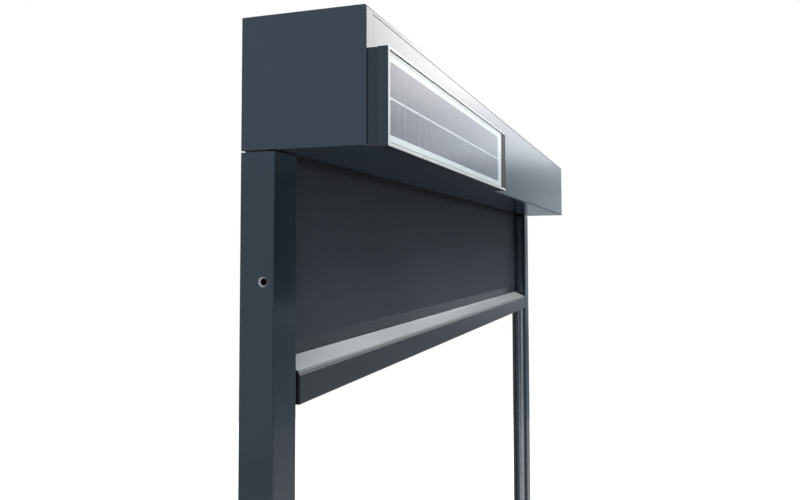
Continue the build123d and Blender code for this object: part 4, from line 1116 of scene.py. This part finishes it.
class AWNING_OT_studio(bpy.types.Operator):
    """White floor, lamps, reflected cards, pale surroundings and the camera"""

    bl_idname = "awning.studio"
    bl_label = "Studio"

    def execute(self, context):
        studio = context.scene.awning_studio
        self.floor(studio)
        side = lamp("side_lamp", place=(-3.6, -0.5, 0.95), target=(-0.69, -0.06, -0.3),
                    size=2.2, power=studio.side_power)
        side.visible_glossy = False
        lamp("back_lamp", place=(0.6, 3.2, 1.6), target=(0.0, 0.0, -0.5),
             size=2.6, power=studio.back_power)
        lamp("top_lamp", place=(0.7, -2.3, 2.6), target=(0.0, -0.02, -0.27),
             size=1.6, power=studio.top_power)
        self.sky_card(studio)
        self.rail_card()
        self.flags()
        self.surroundings(context.scene, studio)
        self.camera(context.scene, studio)
        context.scene.view_settings.view_transform = "Standard"
        return {"FINISHED"}

    def floor(self, studio):
        """A round floor, white to the camera away from the awning and its shadow."""
        finish = Finish("studio_floor", (0.86, 0.86, 0.86), roughness=0.75)
        finish.tint(finish.cloud(scale=3.0), low=0.985, high=1.015)
        shadow_reach, white_from, gap = 1.3, 3.2, 0.0002
        reach = finish.add("ShaderNodeVectorMath", {"operation": "LENGTH"},
                           Vector=finish.stretched(z=0.0))
        clear = finish.window(reach.outputs["Value"], shadow_reach, white_from)
        glow = finish.between(clear, low=0.35, high=1.0)
        finish.shade(Emission_Color=WHITE,
                     Emission_Strength=finish.calc("MULTIPLY", finish.shown(), glow))
        below = cad_box[0].z - gap
        around = [(studio.floor_radius * math.cos(a), studio.floor_radius * math.sin(a), below)
                  for a in round_angles(96)]
        floor = piece("studio_floor", around, [tuple(range(len(around)))], finish.done(),
                      smooth=False)

    def sky_card(self, studio):
        """A far card in front that grows brighter upwards, for the cassette's front to reflect."""
        finish = Finish("sky_card", (0.0, 0.0, 0.0), roughness=1.0)
        distance, low, high = 7.0, 0.2, 3.2
        # The rise above the horizon in degrees, and the level there
        levels = ((3, 0.5), (4.3, 0.45), (5.6, 0.6), (6.3, 0.85), (7, 1.3), (7.8, 1.6), (8.7, 1.8),
                  (9.7, 2.0), (10.7, 2.25), (12, 2.85), (13.3, 3.7), (15, 4.3), (24, 4.8))
        stops = [((distance * math.tan(math.radians(rise)) - low) / (high - low), level)
                 for rise, level in levels]
        height = finish.add("ShaderNodeMapRange", Value=finish.along("Z"), From_Min=low,
                            From_Max=high)
        colour = finish.ramp(height.outputs["Result"], stops, full=studio.sky_strength)
        dimmer, lift = -0.22, 0.37
        side = finish.window(finish.along("Y"), -1.4, -1.0)
        lower = finish.window(finish.along("Z"), 1.0, 0.8)
        change = finish.calc("MULTIPLY", lower, finish.calc("MULTIPLY_ADD", side, lift, dimmer))
        level = finish.calc("MULTIPLY_ADD", change, studio.sky_strength, studio.sky_strength)
        finish.shade(Emission_Color=colour, Emission_Strength=level)
        arc_card("sky_card", finish.done(), distance, headings=(-3.0, -27.5), heights=(low, high),
                 columns=12)

    def rail_card(self):
        """A grey card behind the near end, for the near rail's side to reflect evenly."""
        finish = Finish("rail_card", (0.0, 0.0, 0.0), roughness=1.0)
        finish.shade(Emission_Color=(0.95, 0.98, 1.0, 1.0), Emission_Strength=0.6)
        arc_card("rail_card", finish.done(), 5.0, headings=(115.0, 178.0), heights=(-1.5, 0.4),
                 columns=8)

    def flags(self):
        """Dark cards for the top of the near rail's front and the far channel to reflect."""
        cloth = Finish("flag_cloth", (0.02, 0.02, 0.02), roughness=1.0).done()
        arc_card("front_flag", cloth, 6.6, headings=(-27.5, -48.0), heights=(-0.7, 3.6), columns=6)
        arc_card("channel_flag", cloth, 4.9, headings=(179.0, 202.0), heights=(-0.66, 1.4),
                 columns=6)

    def surroundings(self, scene, studio):
        """White to the camera, darker low down in reflections, and soft light elsewhere."""
        world = bpy.data.worlds.new("surroundings")
        scene.world = world
        world.use_nodes = True
        world.node_tree.nodes.clear()
        sky = NodeTree(world.node_tree)
        ray = sky.add("ShaderNodeTexCoord").outputs["Generated"]
        up = sky.add("ShaderNodeSeparateXYZ", Vector=ray).outputs["Z"]
        height = sky.add("ShaderNodeMapRange", Value=up, From_Min=-1.0)
        # The rise above the horizon in degrees, and the level there
        levels = ((-90, 0.60), (-25, 0.60), (-12, 0.28), (-6.5, 0.18), (-4, 0.36), (-2.7, 0.45),
                  (0, 0.33), (2, 0.38), (3.3, 0.50), (5.5, 0.55), (7, 0.70), (10, 0.75), (90, 0.75))
        stops = [((math.sin(math.radians(rise)) + 1) / 2, level) for rise, level in levels]
        colour = sky.ramp(height.outputs["Result"], stops)
        mirrored = sky.add("ShaderNodeBackground", Color=colour).outputs[0]
        soft = sky.add("ShaderNodeBackground", Color=WHITE, Strength=studio.ambient).outputs[0]
        white = sky.add("ShaderNodeBackground", Color=WHITE).outputs[0]
        glossy = sky.add("ShaderNodeLightPath").outputs["Is Glossy Ray"]
        light = sky.blend(sky.shown(), sky.blend(glossy, soft, mirrored), white)
        sky.add("ShaderNodeOutputWorld", Surface=light)

    def camera(self, scene, studio):
        """The camera at the solved place, with the small shift that the framing needs."""
        data = bpy.data.cameras.new("camera")
        data.lens = studio.lens
        data.sensor_width = 36.0
        data.shift_x, data.shift_y = -0.0045, -0.04523
        data.clip_start, data.clip_end = 0.05, 60.0
        camera = placed("camera", data)
        facing = Euler((math.pi / 2 + studio.tilt, 0.0, studio.heading - math.pi / 2)).to_matrix()
        camera.rotation_euler = (facing @ Matrix.Rotation(studio.roll, 3, "Z")).to_euler()
        camera.location = studio.camera_place
        scene.camera = camera


# Panel and registration

PIECES = (
    AWNING_OT_screen,
    AWNING_OT_zip_tapes,
    AWNING_OT_wound_screen,
    AWNING_OT_keders,
    AWNING_OT_foam_strips,
    AWNING_OT_coated_profiles,
    AWNING_OT_bottom_bar,
    AWNING_OT_rail_inserts,
    AWNING_OT_solar_module,
    AWNING_OT_drive,
    AWNING_OT_fittings,
    AWNING_OT_studio,
)
SETTINGS = {
    "awning_cloth": AwningCloth,
    "awning_finishes": AwningFinishes,
    "awning_studio": AwningStudio,
}


class AWNING_PT_panel(bpy.types.Panel):
    """Pieces and settings of the awning"""

    bl_idname = "AWNING_PT_panel"
    bl_label = "Vertical awning"
    bl_space_type = "VIEW_3D"
    bl_region_type = "UI"
    bl_category = "Awning"

    def draw(self, context):
        for operator in PIECES:
            self.layout.operator(operator.bl_idname)
        for name, group in SETTINGS.items():
            box = self.layout.box()
            for setting in group.__annotations__:
                box.prop(getattr(context.scene, name), setting)


def register():
    for group in SETTINGS.values():
        bpy.utils.register_class(group)
    for operator in PIECES:
        bpy.utils.register_class(operator)
    bpy.utils.register_class(AWNING_PT_panel)
    for name, group in SETTINGS.items():
        setattr(bpy.types.Scene, name, PointerProperty(type=group))


def unregister():
    for name in SETTINGS:
        delattr(bpy.types.Scene, name)
    bpy.utils.unregister_class(AWNING_PT_panel)
    for operator in reversed(PIECES):
        bpy.utils.unregister_class(operator)
    for group in SETTINGS.values():
        bpy.utils.unregister_class(group)


def main():
    register()
    for operator in PIECES:
        module, name = operator.bl_idname.split(".")
        getattr(getattr(bpy.ops, module), name)()


if __name__ == "__main__":
    main()
